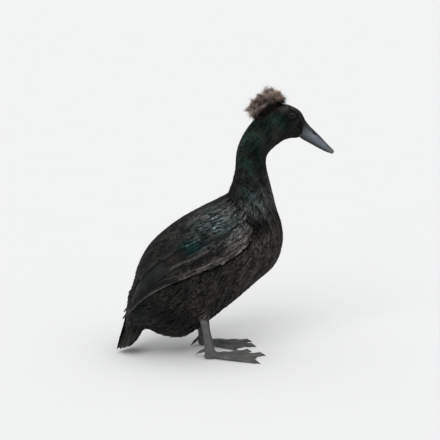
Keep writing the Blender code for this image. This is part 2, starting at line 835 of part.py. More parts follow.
def make_foot(name, side, look):
    joint = leg_points(side)[2] - Vector((0, 0, GAP))
    heel = Vector((*HEEL_MM[side], 0)) * MM
    fore, across = shank_radii(1)
    rows = []
    for share in (0, 0.35, 0.7, 1):
        grow = 1 + 0.18 * share
        centre = joint.lerp(heel + Vector((2, 0, 4)) * MM, share)
        rows.append((centre, fore * grow, across * grow))
    obj = column(name, rows, look)
    pad_radii = (8.2 * MM, 7.2 * MM, 6.2 * MM)
    pieces = [ellipsoid("pad", heel + Vector((-1, 0, 5)) * MM, pad_radii, 10, 6)]
    for toe in TOES[side]:
        pieces.append(tube(toe, *toe_path(side, toe)))
    pieces.append(tube("hallux", *hallux_path(side)))
    pieces.append(web(side, "outer", "middle"))
    pieces.append(web(side, "middle", "inner"))
    fuse(obj, pieces)
    bpy.ops.mesh.primitive_cube_add(size=0.4, location=(0, 0, -0.2))
    cut(obj, in_group(bpy.context.object))
    keep_largest(obj)
    smooth(obj)


def make_claw(name, path, radii, look):
    """A claw on the end of a toe, curving down to a point that stays over the floor."""
    way = (path[-1] - path[-2]).normalized()
    start = path[-1] + way * GAP
    width = radii[-1][0] * 0.62
    points, sizes = [], []
    for i in range(5):
        share = i / 4
        size = width * (1 - 0.86 * share)
        point = start + way * CLAW_LENGTH_MM * MM * share
        point.z = max(point.z - 3.2 * MM * share**2, size + 0.1 * MM)
        points.append(point)
        sizes.append((size * 0.8, size))
    smooth(tube(name, points, sizes, look, 5))


def centre_on_length():
    """Moves the whole bird along X, so that the origin is in the middle of its length."""
    parts = bpy.data.collections[PARTS].objects
    along = [vertex.co.x for obj in parts for vertex in obj.data.vertices]
    shift = Matrix.Translation((-(min(along) + max(along)) / 2, 0, 0))
    for obj in parts:
        obj.data.transform(shift)


def main():
    clear_scene()
    plumage = material("plumage", (0.02, 0.024, 0.024), 0.5)
    crest_look = material("crest_plumage", (0.13, 0.09, 0.07), 0.8)
    bill_look = material("bill", (0.12, 0.15, 0.18), 0.45)
    eye_look = material("eye", (0.02, 0.015, 0.012), 0.1)
    leg_look = material("leg_skin", (0.11, 0.115, 0.11), 0.6)
    claw_look = material("claw", (0.05, 0.045, 0.04), 0.45)

    make_torso(plumage)
    make_neck(plumage)
    make_head(plumage)
    make_bill("bill_upper", False, bill_look)
    make_bill("bill_lower", True, bill_look)
    make_crest(crest_look)
    make_tail(plumage)
    for word, side in SIDES.items():
        make_eye("eye_" + word, side, eye_look)
        make_wing("wing_" + word, side, plumage)
        smooth(thigh_solid("thigh_" + word, side, look=plumage))
        smooth(shank_solid("shank_" + word, side, look=leg_look))
        make_foot("foot_" + word, side, leg_look)
        for toe in TOES[side]:
            make_claw(f"claw_{word}_{toe}", *toe_path(side, toe), claw_look)
        make_claw(f"claw_{word}_hallux", *hallux_path(side), claw_look)
    centre_on_length()


main()
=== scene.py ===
"""A crested duck in black plumage, standing at rest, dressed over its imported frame.

Metres, +Z up, the bill towards +X and the right side towards -Y. Tables whose names end in _MM,
the stations and the tiers are in millimetres. Each operator makes one piece or a group of like
pieces: the skin, the small feathers that lie on it, the wings, the tail, the crest, the bill, the
eyes, the legs and the studio.
"""

import math

import bmesh
import bpy
import numpy as np
from bpy.props import FloatProperty, FloatVectorProperty, IntProperty, PointerProperty
from mathutils import Matrix, Vector, kdtree
from mathutils.bvhtree import BVHTree


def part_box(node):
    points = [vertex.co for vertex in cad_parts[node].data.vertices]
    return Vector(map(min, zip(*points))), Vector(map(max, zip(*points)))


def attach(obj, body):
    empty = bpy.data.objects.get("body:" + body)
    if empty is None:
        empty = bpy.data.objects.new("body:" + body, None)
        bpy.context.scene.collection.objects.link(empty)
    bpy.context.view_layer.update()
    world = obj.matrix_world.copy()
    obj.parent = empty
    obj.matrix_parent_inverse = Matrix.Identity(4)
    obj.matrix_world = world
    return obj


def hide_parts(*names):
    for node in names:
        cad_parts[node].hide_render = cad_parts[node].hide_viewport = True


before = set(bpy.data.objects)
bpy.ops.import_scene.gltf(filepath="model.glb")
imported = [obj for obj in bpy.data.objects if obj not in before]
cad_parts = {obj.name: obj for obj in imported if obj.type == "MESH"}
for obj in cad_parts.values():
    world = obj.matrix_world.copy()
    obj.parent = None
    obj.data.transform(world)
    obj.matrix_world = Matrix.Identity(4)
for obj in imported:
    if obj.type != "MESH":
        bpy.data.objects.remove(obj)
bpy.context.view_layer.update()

bl_info = {
    "name": "Crested duck",
    "version": (1, 0, 0),
    "blender": (4, 5, 0),
    "location": "View3D > Sidebar > Duck",
    "description": "Dresses the frame of a standing crested duck in skin, feathers, bill and legs",
    "category": "Object",
}

MM = 0.001
RIGHT, LEFT = -1, 1
SIDES = {"right": RIGHT, "left": LEFT}
UP = Vector((0, 0, 1))

# The sections of the body, from the rump to the bill: the top point and the bottom point of each
# (x, z), and half its width.
STATIONS = [
    ((-171, 70), (-147, 12), 22),
    ((-146, 101), (-122, 39), 27),
    ((-135, 133), (-95, 31), 40),
    ((-117, 167), (-60, 30), 51),
    ((-94, 190.5), (-21, 56), 58.5),
    ((-64, 212.5), (17, 86), 61.5),
    ((-30, 231), (54, 119), 61.5),
    ((-5, 244.5), (81, 145), 58.5),
    ((6, 254), (92, 176), 52.5),
    ((10, 264), (91, 205), 44),
    ((13, 271), (83, 230), 36),
    ((15, 279), (78, 249), 29.5),
    ((18, 293), (71, 276), 24.5),
    ((19, 310), (66, 299), 22.5),
    ((21, 324), (67, 313), 21.5),
    ((26, 338), (74, 323), 21),
    ((33, 351), (83, 331), 21),
    ((44, 366), (92, 337), 21.5),
    ((59, 381), (100, 340), 22),
    ((77, 391), (107, 341), 21.5),
    ((94, 393), (113, 341), 20.5),
    ((108, 388), (117, 343), 18),
    ((118, 381), (119.5, 345), 15.5),
    ((125, 368.5), (117, 342), 12),
]
BODY_ROWS = [(*top, *bottom, half) for top, bottom, half in STATIONS]
RUMP_END = 1
BILL_BASE = len(STATIONS) - 1
SECTION_POWER = 2.15
BELLY_WEIGHT = 0.08
SKIN_VOXEL_MM = 1.5
LEG_VOXEL_MM = 0.68

# Swellings and hollows of the flesh: place, angle from the back in degrees, their reach in places
# and degrees, and their height.
RELIEF = [
    (20.1, 104, 1.3, 26, 1.1),
    (20.3, 68, 0.75, 17, -1.5),
    (20.5, 38, 1.1, 13, 0.7),
    (22.0, 95, 0.6, 20, -0.7),
    (18.0, 120, 0.9, 26, -1.2),
    (9.6, 80, 0.45, 34, -2.2),
    (8.1, 88, 0.45, 15, -4.5),
    (6.6, 140, 1.1, 22, 1.2),
]

# The coat along the body: place, a feather's length and width, the gap between roots, the depth
# of the coat and how ruffled it is.
COAT = [
    (1.0, 13.0, 5.2, 2.5, 3.2, 0.55),
    (3.0, 13.0, 5.0, 2.4, 3.3, 0.55),
    (5.0, 11.5, 4.8, 2.2, 3.0, 0.4),
    (8.0, 9.5, 4.4, 2.0, 2.7, 0.35),
    (10.0, 8.0, 3.2, 1.7, 2.4, 0.45),
    (12.5, 6.8, 2.3, 1.4, 2.1, 0.5),
    (16.5, 5.4, 1.4, 1.08, 1.7, 0.4),
    (18.5, 4.4, 1.1, 0.87, 1.3, 0.3),
    (20.5, 3.6, 0.92, 0.75, 1.0, 0.25),
    (23.0, 2.3, 0.75, 0.63, 0.6, 0.2),
]
# The pieces of the coat: their places along the body.
COAT_PIECES = {
    "coat_rump": (1.02, 3.9),
    "coat_flanks": (3.9, 6.6),
    "coat_breast": (6.6, 10.0),
    "coat_neck": (10.0, 16.0),
    "coat_head": (16.0, 22.93),
}
COAT_SEEDS = {name: 11 + i for i, name in enumerate(COAT_PIECES)}

EYE_AT_MM = (103.5, 15.4, 376.5)
EYE_RADIUS_MM = 5.2
LID_RADIUS_MM = 4.7
LID_THICKNESS_MM = 0.65
LID_SIDES, LID_STEPS = 10, 64
EYE_CLEARANCE_MM = 6.6

BILL_STATIONS = [
    ((125.4, 367.6), (118.2, 343.6), 10.8, (116.9, 341.8)),
    ((129.9, 361.4), (122.4, 341.4), 10.4, (121.4, 338.4)),
    ((137.0, 354.2), (129.8, 337.8), 9.8, (128.6, 334.6)),
    ((145.1, 346.4), (138.6, 332.9), 9.8, (137.4, 329.8)),
    ((152.5, 338.7), (147.0, 327.9), 10.6, (145.9, 325.2)),
    ((160.3, 330.5), (155.3, 323.2), 11.2, (154.3, 321.0)),
    ((165.6, 325.4), (161.8, 320.1), 9.4, (160.8, 318.6)),
    ((168.6, 321.4), (165.9, 318.0), 6.0, (164.2, 317.3)),
    ((169.2, 319.2), (167.6, 316.8), 2.4, (166.0, 316.6)),
]
BILL_ROWS = [(*ridge, *mouth, half, *under) for ridge, mouth, half, under in BILL_STATIONS]
LOWER_BILL_WIDTH = 0.88
BILL_SLOPE = math.radians(-20)
BILL_FORWARD_MM = 0.3
NOSTRIL_AT_MM = (138.5, 6.6, 348.5)
NOSTRIL_RADII_MM = (4.2, 1.5, 1.0)
NOSTRIL_SLOPE = math.radians(42)

# Each lobe of the crest is a rounded tuft: where its strands root, its middle and radius, the way
# that it points and how light it is.
CREST_LOBES = {
    "front": {
        "seed": 81, "root": (73, 0, 393), "middle": (76, 0, 401.5), "radius": 16.6,
        "crown": (0.25, 0, 0.97), "light": 0.93,
    },
    "middle": {
        "seed": 83, "root": (65, 0, 389), "middle": (64, 0, 395.5), "radius": 15.5,
        "crown": (-0.1, 0, 1), "light": 0.8,
    },
    "rear": {
        "seed": 82, "root": (58, 0, 386), "middle": (53.8, 0, 385.5), "radius": 17.2,
        "crown": (-0.82, 0, 0.57), "light": 1.3,
    },
}
CREST_CLUMPS = 78
CREST_SPREAD = math.radians(118)
# The line over the head under which the strands get the most painted shade, and its slope.
CREST_BROW_MM = (57, 387)
CREST_BROW_SLOPE = 0.375
CREST_WIDTH = 1.25
CREST_CORE_AT_MM = (65, 0, 391)
CREST_CORE_RADII_MM = (14, 9, 8)
CREST_CORE_PITCH = math.radians(-18)
STRAND_PLACES = (0.0, 0.2, 0.42, 0.64, 0.84, 1.0)
STRAND_REACHES = (0.12, 0.45, 0.74, 0.9, 0.98, 1.02)
STRAND_WIDTHS = (0.8, 1.0, 0.95, 0.75, 0.45, 0.08)

# The tiers of a folded wing, from the lowest to the uppermost. Roots and tips are places along
# the stations, and shares of the way from the back to the belly, for the first feather and the
# last one. The lifts over the body are at the root and along the vane.
WING_TIERS = {
    "primaries": {
        "count": 9, "roots": ((4.9, 0.43), (4.9, 0.34)), "tips": ((0.35, 0.3), (1.75, 0.2)),
        "bend": -0.05, "lifts": ((3.0, 3.0), (3.6, 5.6)), "width": 11, "tilt": 0.15, "edges": (1.0, 0.1),
    },
    "secondaries": {
        "count": 9, "roots": ((5.4, 0.44), (5.4, 0.3)), "tips": ((3.3, 0.35), (3.9, 0.23)),
        "bend": -0.01, "lifts": ((5.2, 5.4), (6.4, 8.2)), "width": 11, "tilt": 0.15, "edges": (0.9, 0.4),
    },
    "tertials": {
        "count": 7, "roots": ((5.2, 0.29), (5.2, 0.09)), "tips": ((1.2, 0.235), (2.9, 0.075)),
        "bend": -0.015, "lifts": ((6.6, 8.1), (1.0, 3.2)), "width": 15, "tilt": 0.19, "edges": (0.3, 0.15),
    },
    "greater_coverts": {
        "count": 10, "roots": ((6.3, 0.455), (6.3, 0.28)), "tips": ((4.5, 0.39), (4.5, 0.24)),
        "bend": 0.0, "lifts": ((6.4, 8.0), (7.8, 10.6)), "width": 11, "tilt": 0.15, "edges": (0.3, 0.4),
    },
    "median_coverts": {
        "count": 12, "roots": ((6.9, 0.435), (6.85, 0.27)), "tips": ((5.5, 0.44), (5.6, 0.25)),
        "bend": 0.0, "lifts": ((6.4, 8.2), (8.2, 11.2)), "width": 9.5, "tilt": 0.13, "edges": (0.3, 0.2),
    },
    "scapulars": {
        "count": 11, "roots": ((6.7, 0.27), (6.3, 0.1)), "tips": ((3.7, 0.235), (3.4, 0.08)),
        "bend": 0.0, "lifts": ((8.0, 11.0), (1.0, 3.8)), "width": 12, "tilt": 0.17, "edges": (0.15, 0.1),
    },
    "upper_scapulars": {
        "count": 11, "roots": ((7.3, 0.26), (6.9, 0.1)), "tips": ((5.3, 0.25), (4.9, 0.08)),
        "bend": 0.0, "lifts": ((8.0, 11.2), (1.0, 4.2)), "width": 10, "tilt": 0.15, "edges": (0.15, 0.2),
    },
}
WING_CORE = [
    (4.3, 0.415, 0.075),
    (5.0, 0.463, 0.075),
    (6.0, 0.505, 0.09),
    (7.0, 0.487, 0.14),
    (7.5, 0.445, 0.23),
    (7.74, 0.385, 0.3),
]
WING_CORE_LIFT_MM = 9.6
WING_CORE_EDGE_LIFT_MM = 1.4
COVERT_DEPTH_MM = 2.4
# The outline of the folded wing, in places and shares, inside which the body has no coat.
WING_OUTLINE = [
    (7.9, 0.385), (7.68, 0.458), (7.2, 0.51), (6.3, 0.535), (5.5, 0.515), (5.0, 0.48), (4.3, 0.435),
    (2.9, 0.36), (1.6, 0.32), (0.9, 0.31), (0.8, 0.27), (1.6, 0.2), (2.5, 0.15), (3.2, 0.11),
    (4.2, 0.1), (6.0, 0.11), (7.0, 0.13), (7.58, 0.19), (7.84, 0.27),
]
# The layers of small coverts that lie over the long ones: the light band along the wing's lower
# edge, and the shoulder. Their rows go backwards from the bend of the wing: a place, the shares of
# the lower and the upper border, and the lifts there.
WING_LAYERS = {
    "band": {
        "rows": [
            (7.7, 0.415, 0.35, 2.0, 2.6),
            (7.2, 0.457, 0.355, 4.6, 8.0),
            (6.55, 0.49, 0.36, 5.4, 9.8),
            (6.0, 0.5, 0.365, 5.6, 10.2),
            (5.5, 0.487, 0.365, 5.6, 10.2),
            (5.0, 0.458, 0.36, 5.6, 10.0),
            (4.4, 0.425, 0.35, 5.4, 9.6),
            (3.8, 0.39, 0.335, 5.0, 9.0),
        ],
        "length": 11.0, "width": 4.2, "gap": 2.2, "last": 0.93, "droop": 0.05, "rise": 0.9,
    },
    "shoulder": {
        "rows": [
            (7.72, 0.375, 0.28, 3.0, 2.6),
            (7.4, 0.39, 0.18, 7.4, 5.0),
            (6.95, 0.395, 0.13, 9.6, 5.8),
            (6.4, 0.39, 0.105, 10.6, 6.0),
            (5.9, 0.385, 0.095, 11.4, 6.0),
            (5.45, 0.38, 0.09, 11.7, 6.0),
        ],
        "length": 11.5, "width": 6.0, "gap": 2.8, "last": 0.96, "droop": 0.03, "rise": 1.1,
    },
    "mantle": {
        "rows": [
            (8.3, 0.3, 0.0, -0.6, -0.8),
            (7.9, 0.31, 0.0, 1.6, 0.1),
            (7.4, 0.3, 0.0, 5.6, 0.8),
            (6.9, 0.285, 0.0, 9.2, 1.2),
            (6.3, 0.26, 0.0, 10.6, 1.4),
            (5.6, 0.23, 0.0, 10.8, 1.4),
            (4.9, 0.2, 0.0, 9.6, 1.4),
            (4.2, 0.165, 0.0, 7.6, 1.4),
            (3.5, 0.135, 0.0, 5.2, 1.2),
            (2.9, 0.11, 0.0, 3.6, 0.9),
            (2.3, 0.09, 0.0, 1.6, 0.3),
            (1.8, 0.08, 0.0, -0.8, -1.2),
        ],
        "length": 16.0, "width": 7.0, "gap": 3.8, "last": 0.93, "droop": 0.02, "rise": 1.3,
    },
}

TAIL_FEATHERS = 7
TAIL_ROOTS_MM = ((-146, 0, 84), (-121, 13, 55))
TAIL_TIPS_MM = ((-167.5, 0, 5.5), (-144.5, 20.5, 13.5))
TAIL_STEP_MM = 0.68
TAIL_BOW_MM = 4
TAIL_WIDTH_MM = 13.5
TAIL_COVERTS = 4

THIGH_TOP_MM = (-14, 41, 112)
HOCK_MM = (-30, 38, 66)
FOOT_JOINT_MM = (-22, 36, 21.5)
THIGH_STATIONS = [(0, 19, 15), (0.25, 21, 16), (0.5, 18, 14), (0.72, 13, 10.5), (0.9, 9, 7.5), (1, 8, 6.5)]
THIGH_COAT_MM = 2.6
SHANK_RADII_MM = (6.0, 4.3)
SHANK_SWELL_MM = (1.6, 1.5)
TOES = {
    RIGHT: {"outer": (20, 72, 4.2), "middle": (-10, 78, 4.6), "inner": (-31, 66, 4.0)},
    LEFT: {"outer": (11, 70, 4.2), "middle": (-10, 76, 4.6), "inner": (-34, 56, 4.0)},
}
HEEL_MM = {RIGHT: (-21, -35), LEFT: (-32, 41)}
HALLUX_TIP_HEIGHT_MM = {RIGHT: 9.5, LEFT: 4.0}
TOE_ROWS = 9
TOE_STEPS = 44
HALLUX_STEPS = 14
CLAW_SIDES = 14
KNUCKLES = 3
KNUCKLE_MM = 0.6
WEB_THICKNESS_MM = 1.3
WEB_REACH = 0.93
WEB_SCALLOP = 0.16
CLAW_LENGTH_MM = 6.5

# Where the plumage shines, pales or darkens, for each kind of mark: its middle, its reach and its strength.
# The darkening is partly painted shade, and some of the paling is a painted grey sheen.
# Those beyond WING_SIDE_MM are only on the wings' own feathers.
MARKS = ("green", "teal", "pale", "painted_shade_and_dark")
WING_SIDE_MM = 60
MARK_ZONES = {
    "green": [
        ((44, 0, 345), (22, 60, 34), 1.0),
        ((40, 0, 312), (18, 60, 24), 0.4),
        ((72, 0, 374), (26, 60, 12), 0.6),
        ((96, 0, 366), (20, 60, 16), 0.35),
    ],
    "teal": [
        ((54, 26, 252), (20, 40, 26), 0.75),
        ((34, 26, 262), (14, 40, 16), 0.45),
        ((-9, 38, 246), (18, 40, 9), 0.8),
        ((-50, 62, 180), (12, 40, 7), 1.7),
        ((-38, 62, 190), (12, 40, 7), 0.9),
        ((-18, 60, 212), (38, 40, 20), 0.75),
        ((12, 60, 219), (26, 30, 16), 0.7),
        ((2, 50, 234), (34, 30, 12), 0.45),
        ((-126, 30, 80), (20, 50, 24), 0.35),
        ((-112, 50, 128), (26, 40, 20), 0.3),
    ],
    # Light feather edges, the wing's band and bend, and the top of the shank; the zones on the nape, the
    # crown, the scapulars, the coverts and the neck's base are a painted grey sheen.
    "pale": [
        ((39, 64, 202), (11, 28, 14), 1.15),
        ((24, 70, 181), (13, 26, 11), 1.2),
        ((3, 71, 166), (13, 26, 7), 0.85),
        ((-28, 70, 150), (18, 26, 6), 0.75),
        ((-51, 68, 138), (18, 26, 5), 0.5),
        ((-71, 62, 160), (9, 26, 6), 0.5),
        ((25, 52, 240), (22, 30, 12), 0.55),
        ((38, 62, 222), (16, 26, 14), 0.45),
        ((36, 0, 350), (22, 40, 40), 0.18),
        ((-23, 38, 80), (6, 30, 10), 0.9),
        ((-73, 50, 200), (22, 40, 10), 0.14),
        ((-18, 42, 234), (28, 40, 13), 0.8),
        ((-2, 60, 214), (34, 40, 20), 0.46),
        ((62, 30, 176), (42, 60, 58), 0.24),
        ((60, 22, 252), (20, 40, 20), 0.6),
        ((90, 0, 394), (36, 30, 12), 0.7),
    ],
    # Painted shade in the hollow before the wing's bend, below the wing's lower edge and on the belly, and
    # darker plumage elsewhere.
    "painted_shade_and_dark": [
        ((50, 50, 215), (9, 30, 14), 1.0),
        ((-70, 40, 72), (80, 60, 36), 0.75),
        ((-20, 60, 128), (60, 40, 12), 0.7),
        ((104, 20, 364), (26, 30, 20), 0.6),
        ((50, 30, 312), (20, 40, 30), 0.6),
        ((-90, 30, 160), (60, 40, 40), 0.35),
        ((-108, 50, 128), (32, 40, 20), 0.5),
        ((-126, 36, 98), (22, 40, 18), 0.6),
        ((-50, 0, 215), (90, 15, 60), 0.9),
        ((60, 50, 218), (14, 32, 13), 1.1),
    ],
}
# Thin lines and bars of colour on the sides of the wings: their ends, how far they reach and their
# strength.
MARK_STROKES = {
    "pale": [
        ((-19, 181), (-43, 168), 1.3, 0.95),
        ((-43, 168), (-76, 152), 1.5, 0.6),
        ((-20, 158), (-61, 132), 2.4, 0.7),
        ((-61, 132), (-95, 112), 1.9, 0.75),
        ((-95, 112), (-121, 98), 1.5, 0.65),
        ((-121, 98), (-146, 77), 1.4, 0.5),
        ((-66, 146), (-110, 118), 1.2, 0.4),
        ((-24, 142), (-44, 134), 0.9, 0.9),
    ],
    # Dark lines along the side of the wing.
    "painted_shade_and_dark": [
        ((-56, 152), (6, 187), 5.5, 1.0),
        ((-70, 139), (-125, 108), 3.0, 0.7),
    ],
}


def number(name, description, default, **more):
    return FloatProperty(name=name, description=description, default=default, **more)


def metres(name, description, default):
    return number(name, description, default, min=0, unit="LENGTH", precision=5)


def share_of(name, description):
    return number(name, description, 1.0, min=0, max=2, subtype="FACTOR")


def tint(name, description, default):
    return FloatVectorProperty(
        name=name, description=description, default=default, subtype="COLOR", size=3, min=0, max=1
    )


class PlumageSizes(bpy.types.PropertyGroup):
    """Sizes and colours of the feathers."""

    length: share_of("Feather length", "How long the small feathers are, as a share of the usual")
    closeness: share_of("Closeness", "How close the small feathers stand, as a share of the usual")
    covert: metres("Covert length", "Length of a small feather on the front of the wing", 0.0115)
    black: tint("Black", "The ground colour of the plumage", (0.0125, 0.0125, 0.0115))
    brown: tint("Brown", "The worn tips of the body feathers", (0.034, 0.029, 0.025))
    green: tint("Green", "The sheen of the neck", (0.011, 0.054, 0.037))
    teal: tint("Teal", "The sheen of the wing and of the base of the neck", (0.01, 0.036, 0.034))
    # Grey-brown and frost are also the painted grey sheen on the crown, the nape, the neck's base, the
    # scapulars and the coverts.
    pale: tint("Grey-brown", "The front edge of the wing and the edges of its feathers", (0.125, 0.11, 0.098))
    frost: tint("Frost", "The pale marks where the feathers shine teal", (0.08, 0.096, 0.097))


class CrestSizes(bpy.types.PropertyGroup):
    """Sizes and colours of the crest."""

    strands: IntProperty(
        name="Strands", description="Strands in each lobe of the crest", default=5800, min=50
    )
    width: metres("Strand width", "Width of a strand in its middle", 0.0005)
    root: tint("Root colour", "Colour near the head", (0.02, 0.016, 0.015))
    middle: tint("Middle colour", "Colour half way out", (0.285, 0.232, 0.2))
    tip: tint("Tip colour", "Colour at the tips", (0.37, 0.28, 0.225))


class BareParts(bpy.types.PropertyGroup):
    """Colours of the bill, the eyes and the legs."""

    bill: tint("Bill", "The sides of the bill", (0.08, 0.097, 0.112))
    # A painted satin highlight.
    bill_highlight: tint("Bill's shine", "The satin patch along the side of the bill", (0.142, 0.166, 0.19))
    bill_tip: tint("Bill tip", "The olive tip of the bill", (0.12, 0.122, 0.104))
    bill_dark: tint("Dark horn", "The nail, the ridge and the lower bill", (0.018, 0.02, 0.022))
    iris: tint("Iris", "The ring of the eye", (0.012, 0.009, 0.007))
    leg: tint("Leg", "The shanks and the backs of the toes", (0.122, 0.124, 0.119))
    web: tint("Web", "The skin between the toes", (0.112, 0.117, 0.117))
    olive: tint("Pads", "The soles and the ends of the toes", (0.175, 0.145, 0.105))
    claw: tint("Claw", "The claws", (0.012, 0.011, 0.01))


class StudioSizes(bpy.types.PropertyGroup):
    """The camera, the floor and the light."""

    distance: metres("Camera distance", "From the camera to the middle of the bird", 1.9)
    pitch: number("Camera pitch", "How far the camera looks down", math.radians(11), subtype="ANGLE")
    lens: number("Lens", "Focal length in millimetres", 100.29, min=10)
    floor: tint("Floor", "Colour of the floor", (0.86, 0.86, 0.86))
    key: number("Key light", "Strength of the light from the front", 1.3, min=0)
    fill: number("Top light", "Strength of the light from above", 1.45, min=0)
    sky: number("Sky", "Strength of the light from all round", 0.35, min=0)


SETTINGS = {
    "plumage_sizes": PlumageSizes,
    "crest_sizes": CrestSizes,
    "bare_parts": BareParts,
    "studio_sizes": StudioSizes,
}


# Curves and surfaces


def unit(vectors):
    return vectors / np.maximum(np.linalg.norm(vectors, axis=-1, keepdims=True), 1e-12)


def curve_through(rows, at):
    """The rows at fractional places in a list of rows, on a smooth curve through them all."""
    rows, at = np.asarray(rows, float), np.asarray(at, float)
    last = len(rows) - 1
    start = np.clip(np.floor(at).astype(int), 0, last - 1)
    t = (at - start)[..., None]
    a, b, c, d = (rows[np.clip(start + k, 0, last)] for k in range(-1, 3))
    bend = (2 * a - 5 * b + 4 * c - d) * t**2 + (3 * b - a - 3 * c + d) * t**3
    return b + ((c - a) * t + bend) / 2


def table_at(table, at):
    """The columns of a table between its rows, found by its first column."""
    rows = np.asarray(table, float)
    return [np.interp(at, rows[:, 0], column) for column in rows.T[1:]]


def signed_power(value, power):
    return np.sign(value) * np.abs(value) ** power


def between(ends, share):
    """Points a share of the way from a first to a last one."""
    first, last = (np.array(end) for end in ends)
    return first + (last - first) * share


def turns(steps):
    """Even angles all the way round."""
    return np.linspace(0, 2 * np.pi, steps, endpoint=False)


def slopes(surface, first, second, step):
    """How a surface of two coordinates runs along each of them."""
    along = (surface(first + step, second) - surface(first - step, second)) / (2 * step)
    around = (surface(first, second + step) - surface(first, second - step)) / (2 * step)
    return along, around


def slid():
    """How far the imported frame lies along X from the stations' own zero."""
    low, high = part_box("eye_right")
    return (low[0] + high[0]) / 2 - EYE_AT_MM[0] * MM


SHIFT = slid()
SHIFT_VECTOR = Vector((SHIFT, 0, 0))


def at_side(point_mm, side=LEFT):
    x, y, z = point_mm
    return Vector((x, y * side, z)) * MM + SHIFT_VECTOR


def placed(points_mm):
    """Points in millimetres from the stations' own zero, as points of the frame."""
    return points_mm * MM + np.array(SHIFT_VECTOR)


def heel_at(side):
    return placed(np.array([*HEEL_MM[side], 0.0]))


def body_point(place, angle, lift=0.0):
    """Points of the coat's surface: places along the stations, and angles from the back (0) round
    the left side to the belly (pi), lifted off it."""
    place, angle = np.broadcast_arrays(np.asarray(place, float), np.asarray(angle, float))
    top_x, top_z, low_x, low_z, half = np.moveaxis(curve_through(BODY_ROWS, place), -1, 0)
    across = signed_power(np.sin(angle), 2 / SECTION_POWER)
    rise = signed_power(np.cos(angle), 2 / SECTION_POWER) - BELLY_WEIGHT * across**2
    x = (top_x + low_x + (top_x - low_x) * rise) / 2
    z = (top_z + low_z + (top_z - low_z) * rise) / 2
    points = np.stack([x * MM + SHIFT, half * across * MM, z * MM], -1)
    if np.any(lift):
        points = points + body_normal(place, angle) * np.asarray(lift)[..., None]
    return points


def body_steps(place, angle):
    return slopes(body_point, place, angle, 0.02)


def body_normal(place, angle):
    return unit(np.cross(*body_steps(place, angle)))


def relief(place, angle):
    """The height of the flesh's swellings and hollows."""
    degrees = np.degrees(np.abs((angle + np.pi) % (2 * np.pi) - np.pi))
    height = np.zeros_like(degrees)
    for at, towards, reach, spread, high in RELIEF:
        height += high * np.exp(-(((place - at) / reach) ** 2) - ((degrees - towards) / spread) ** 2)
    return height * MM


def angle_at(share):
    return np.arccos(1 - 2 * np.asarray(share, float))


def share_at(angle):
    return (1 - np.cos(angle)) / 2


def inside(outline, x, y):
    """Which points (x, y) lie inside a closed outline."""
    found = np.zeros(np.shape(x), bool)
    for (x0, y0), (x1, y1) in zip(outline, outline[1:] + outline[:1]):
        crosses = (y0 > y) != (y1 > y)
        found ^= crosses & (x < (x1 - x0) * (y - y0) / (y1 - y0 + 1e-12) + x0)
    return found


def marks_at(points, winged=False):
    """How much of each kind of mark the plumage has at each point."""
    found = np.zeros((len(points), len(MARKS)))
    folded = np.stack([(points[:, 0] - SHIFT) / MM, np.abs(points[:, 1]) / MM, points[:, 2] / MM], -1)
    for kind, zones in MARK_ZONES.items():
        for middle, reach, strength in zones:
            if middle[1] < WING_SIDE_MM or winged:
                far = (folded - np.array(middle)) / np.array(reach)
                found[:, MARKS.index(kind)] += strength * np.exp(-np.sum(far**2, axis=1))
    beside = folded[:, [0, 2]]
    for kind, strokes in MARK_STROKES.items() if winged else ():
        for start, end, reach, strength in strokes:
            start, step = np.array(start), np.subtract(end, start)
            share = np.clip((beside - start) @ step / (step @ step), 0, 1)
            far = np.linalg.norm(beside - start - share[:, None] * step, axis=1) / reach
            found[:, MARKS.index(kind)] += strength * np.exp(-(far**2)) * (folded[:, 1] > 20)
    return np.clip(found, 0, 1)


def mottled(points, size):
    """Smooth random values from 0 to 1 at points, in patches of about a size."""
    total = np.zeros(len(points))
    for i, way in enumerate(unit(np.random.default_rng(5).normal(size=(7, 3)))):
        total += np.sin(points @ way * (2 * np.pi / size) * (0.7 + 0.21 * i) + 1.7 * i)
    return 0.5 + 0.5 * np.tanh(total * 0.55)


# Meshes from arrays


def tube_faces(rings, sides):
    """The triangles of one closed tube, and how far round the tube each corner lies."""
    r, s = np.meshgrid(np.arange(rings - 1), np.arange(sides), indexing="ij")
    r, s = r.ravel(), s.ravel()
    near, far = r * sides + s, r * sides + (s + 1) % sides
    faces = [np.stack([near, far, far + sides], -1), np.stack([near, far + sides, near + sides], -1)]
    around = [np.stack([s, s + 1, s + 1], -1), np.stack([s, s + 1, s], -1)]
    k = np.arange(1, sides - 1)
    end = (rings - 1) * sides
    faces += [np.stack([0 * k, k + 1, k], -1), np.stack([0 * k, k, k + 1], -1) + end]
    around += [np.stack([0 * k, k + 1, k], -1), np.stack([0 * k, k, k + 1], -1)]
    return np.concatenate(faces), np.concatenate(around) / sides


def tubes(rings):
    """Closed tubes from an array of (tube, ring, side) points: points, outward triangles, and
    how far round each corner lies."""
    count, ring_count, sides = rings.shape[:3]
    faces, around = tube_faces(ring_count, sides)
    points = rings.reshape(count, -1, 3)
    centred = points - points.mean(axis=1, keepdims=True)
    a, b, c = (centred[:, faces[:, i]] for i in range(3))
    volume = np.einsum("nfi,nfi->n", a, np.cross(b, c))
    turned = (volume < 0)[:, None, None]
    all_faces = np.where(turned, faces[None, :, ::-1], faces[None])
    all_around = np.where(turned, around[None, :, ::-1], around[None])
    offset = np.arange(count)[:, None, None] * ring_count * sides
    return points.reshape(-1, 3), (all_faces + offset).reshape(-1, 3), all_around.reshape(-1, 3)


def shell(ring):
    """The points and the outward triangles of one closed tube."""
    return tubes(ring[None])[:2]


def merged(solids):
    """One list of points and one of triangles from several."""
    points, faces, count = [], [], 0
    for solid in solids:
        points.append(solid[0])
        faces.append(solid[1] + count)
        count += len(solid[0])
    return np.concatenate(points), np.concatenate(faces)


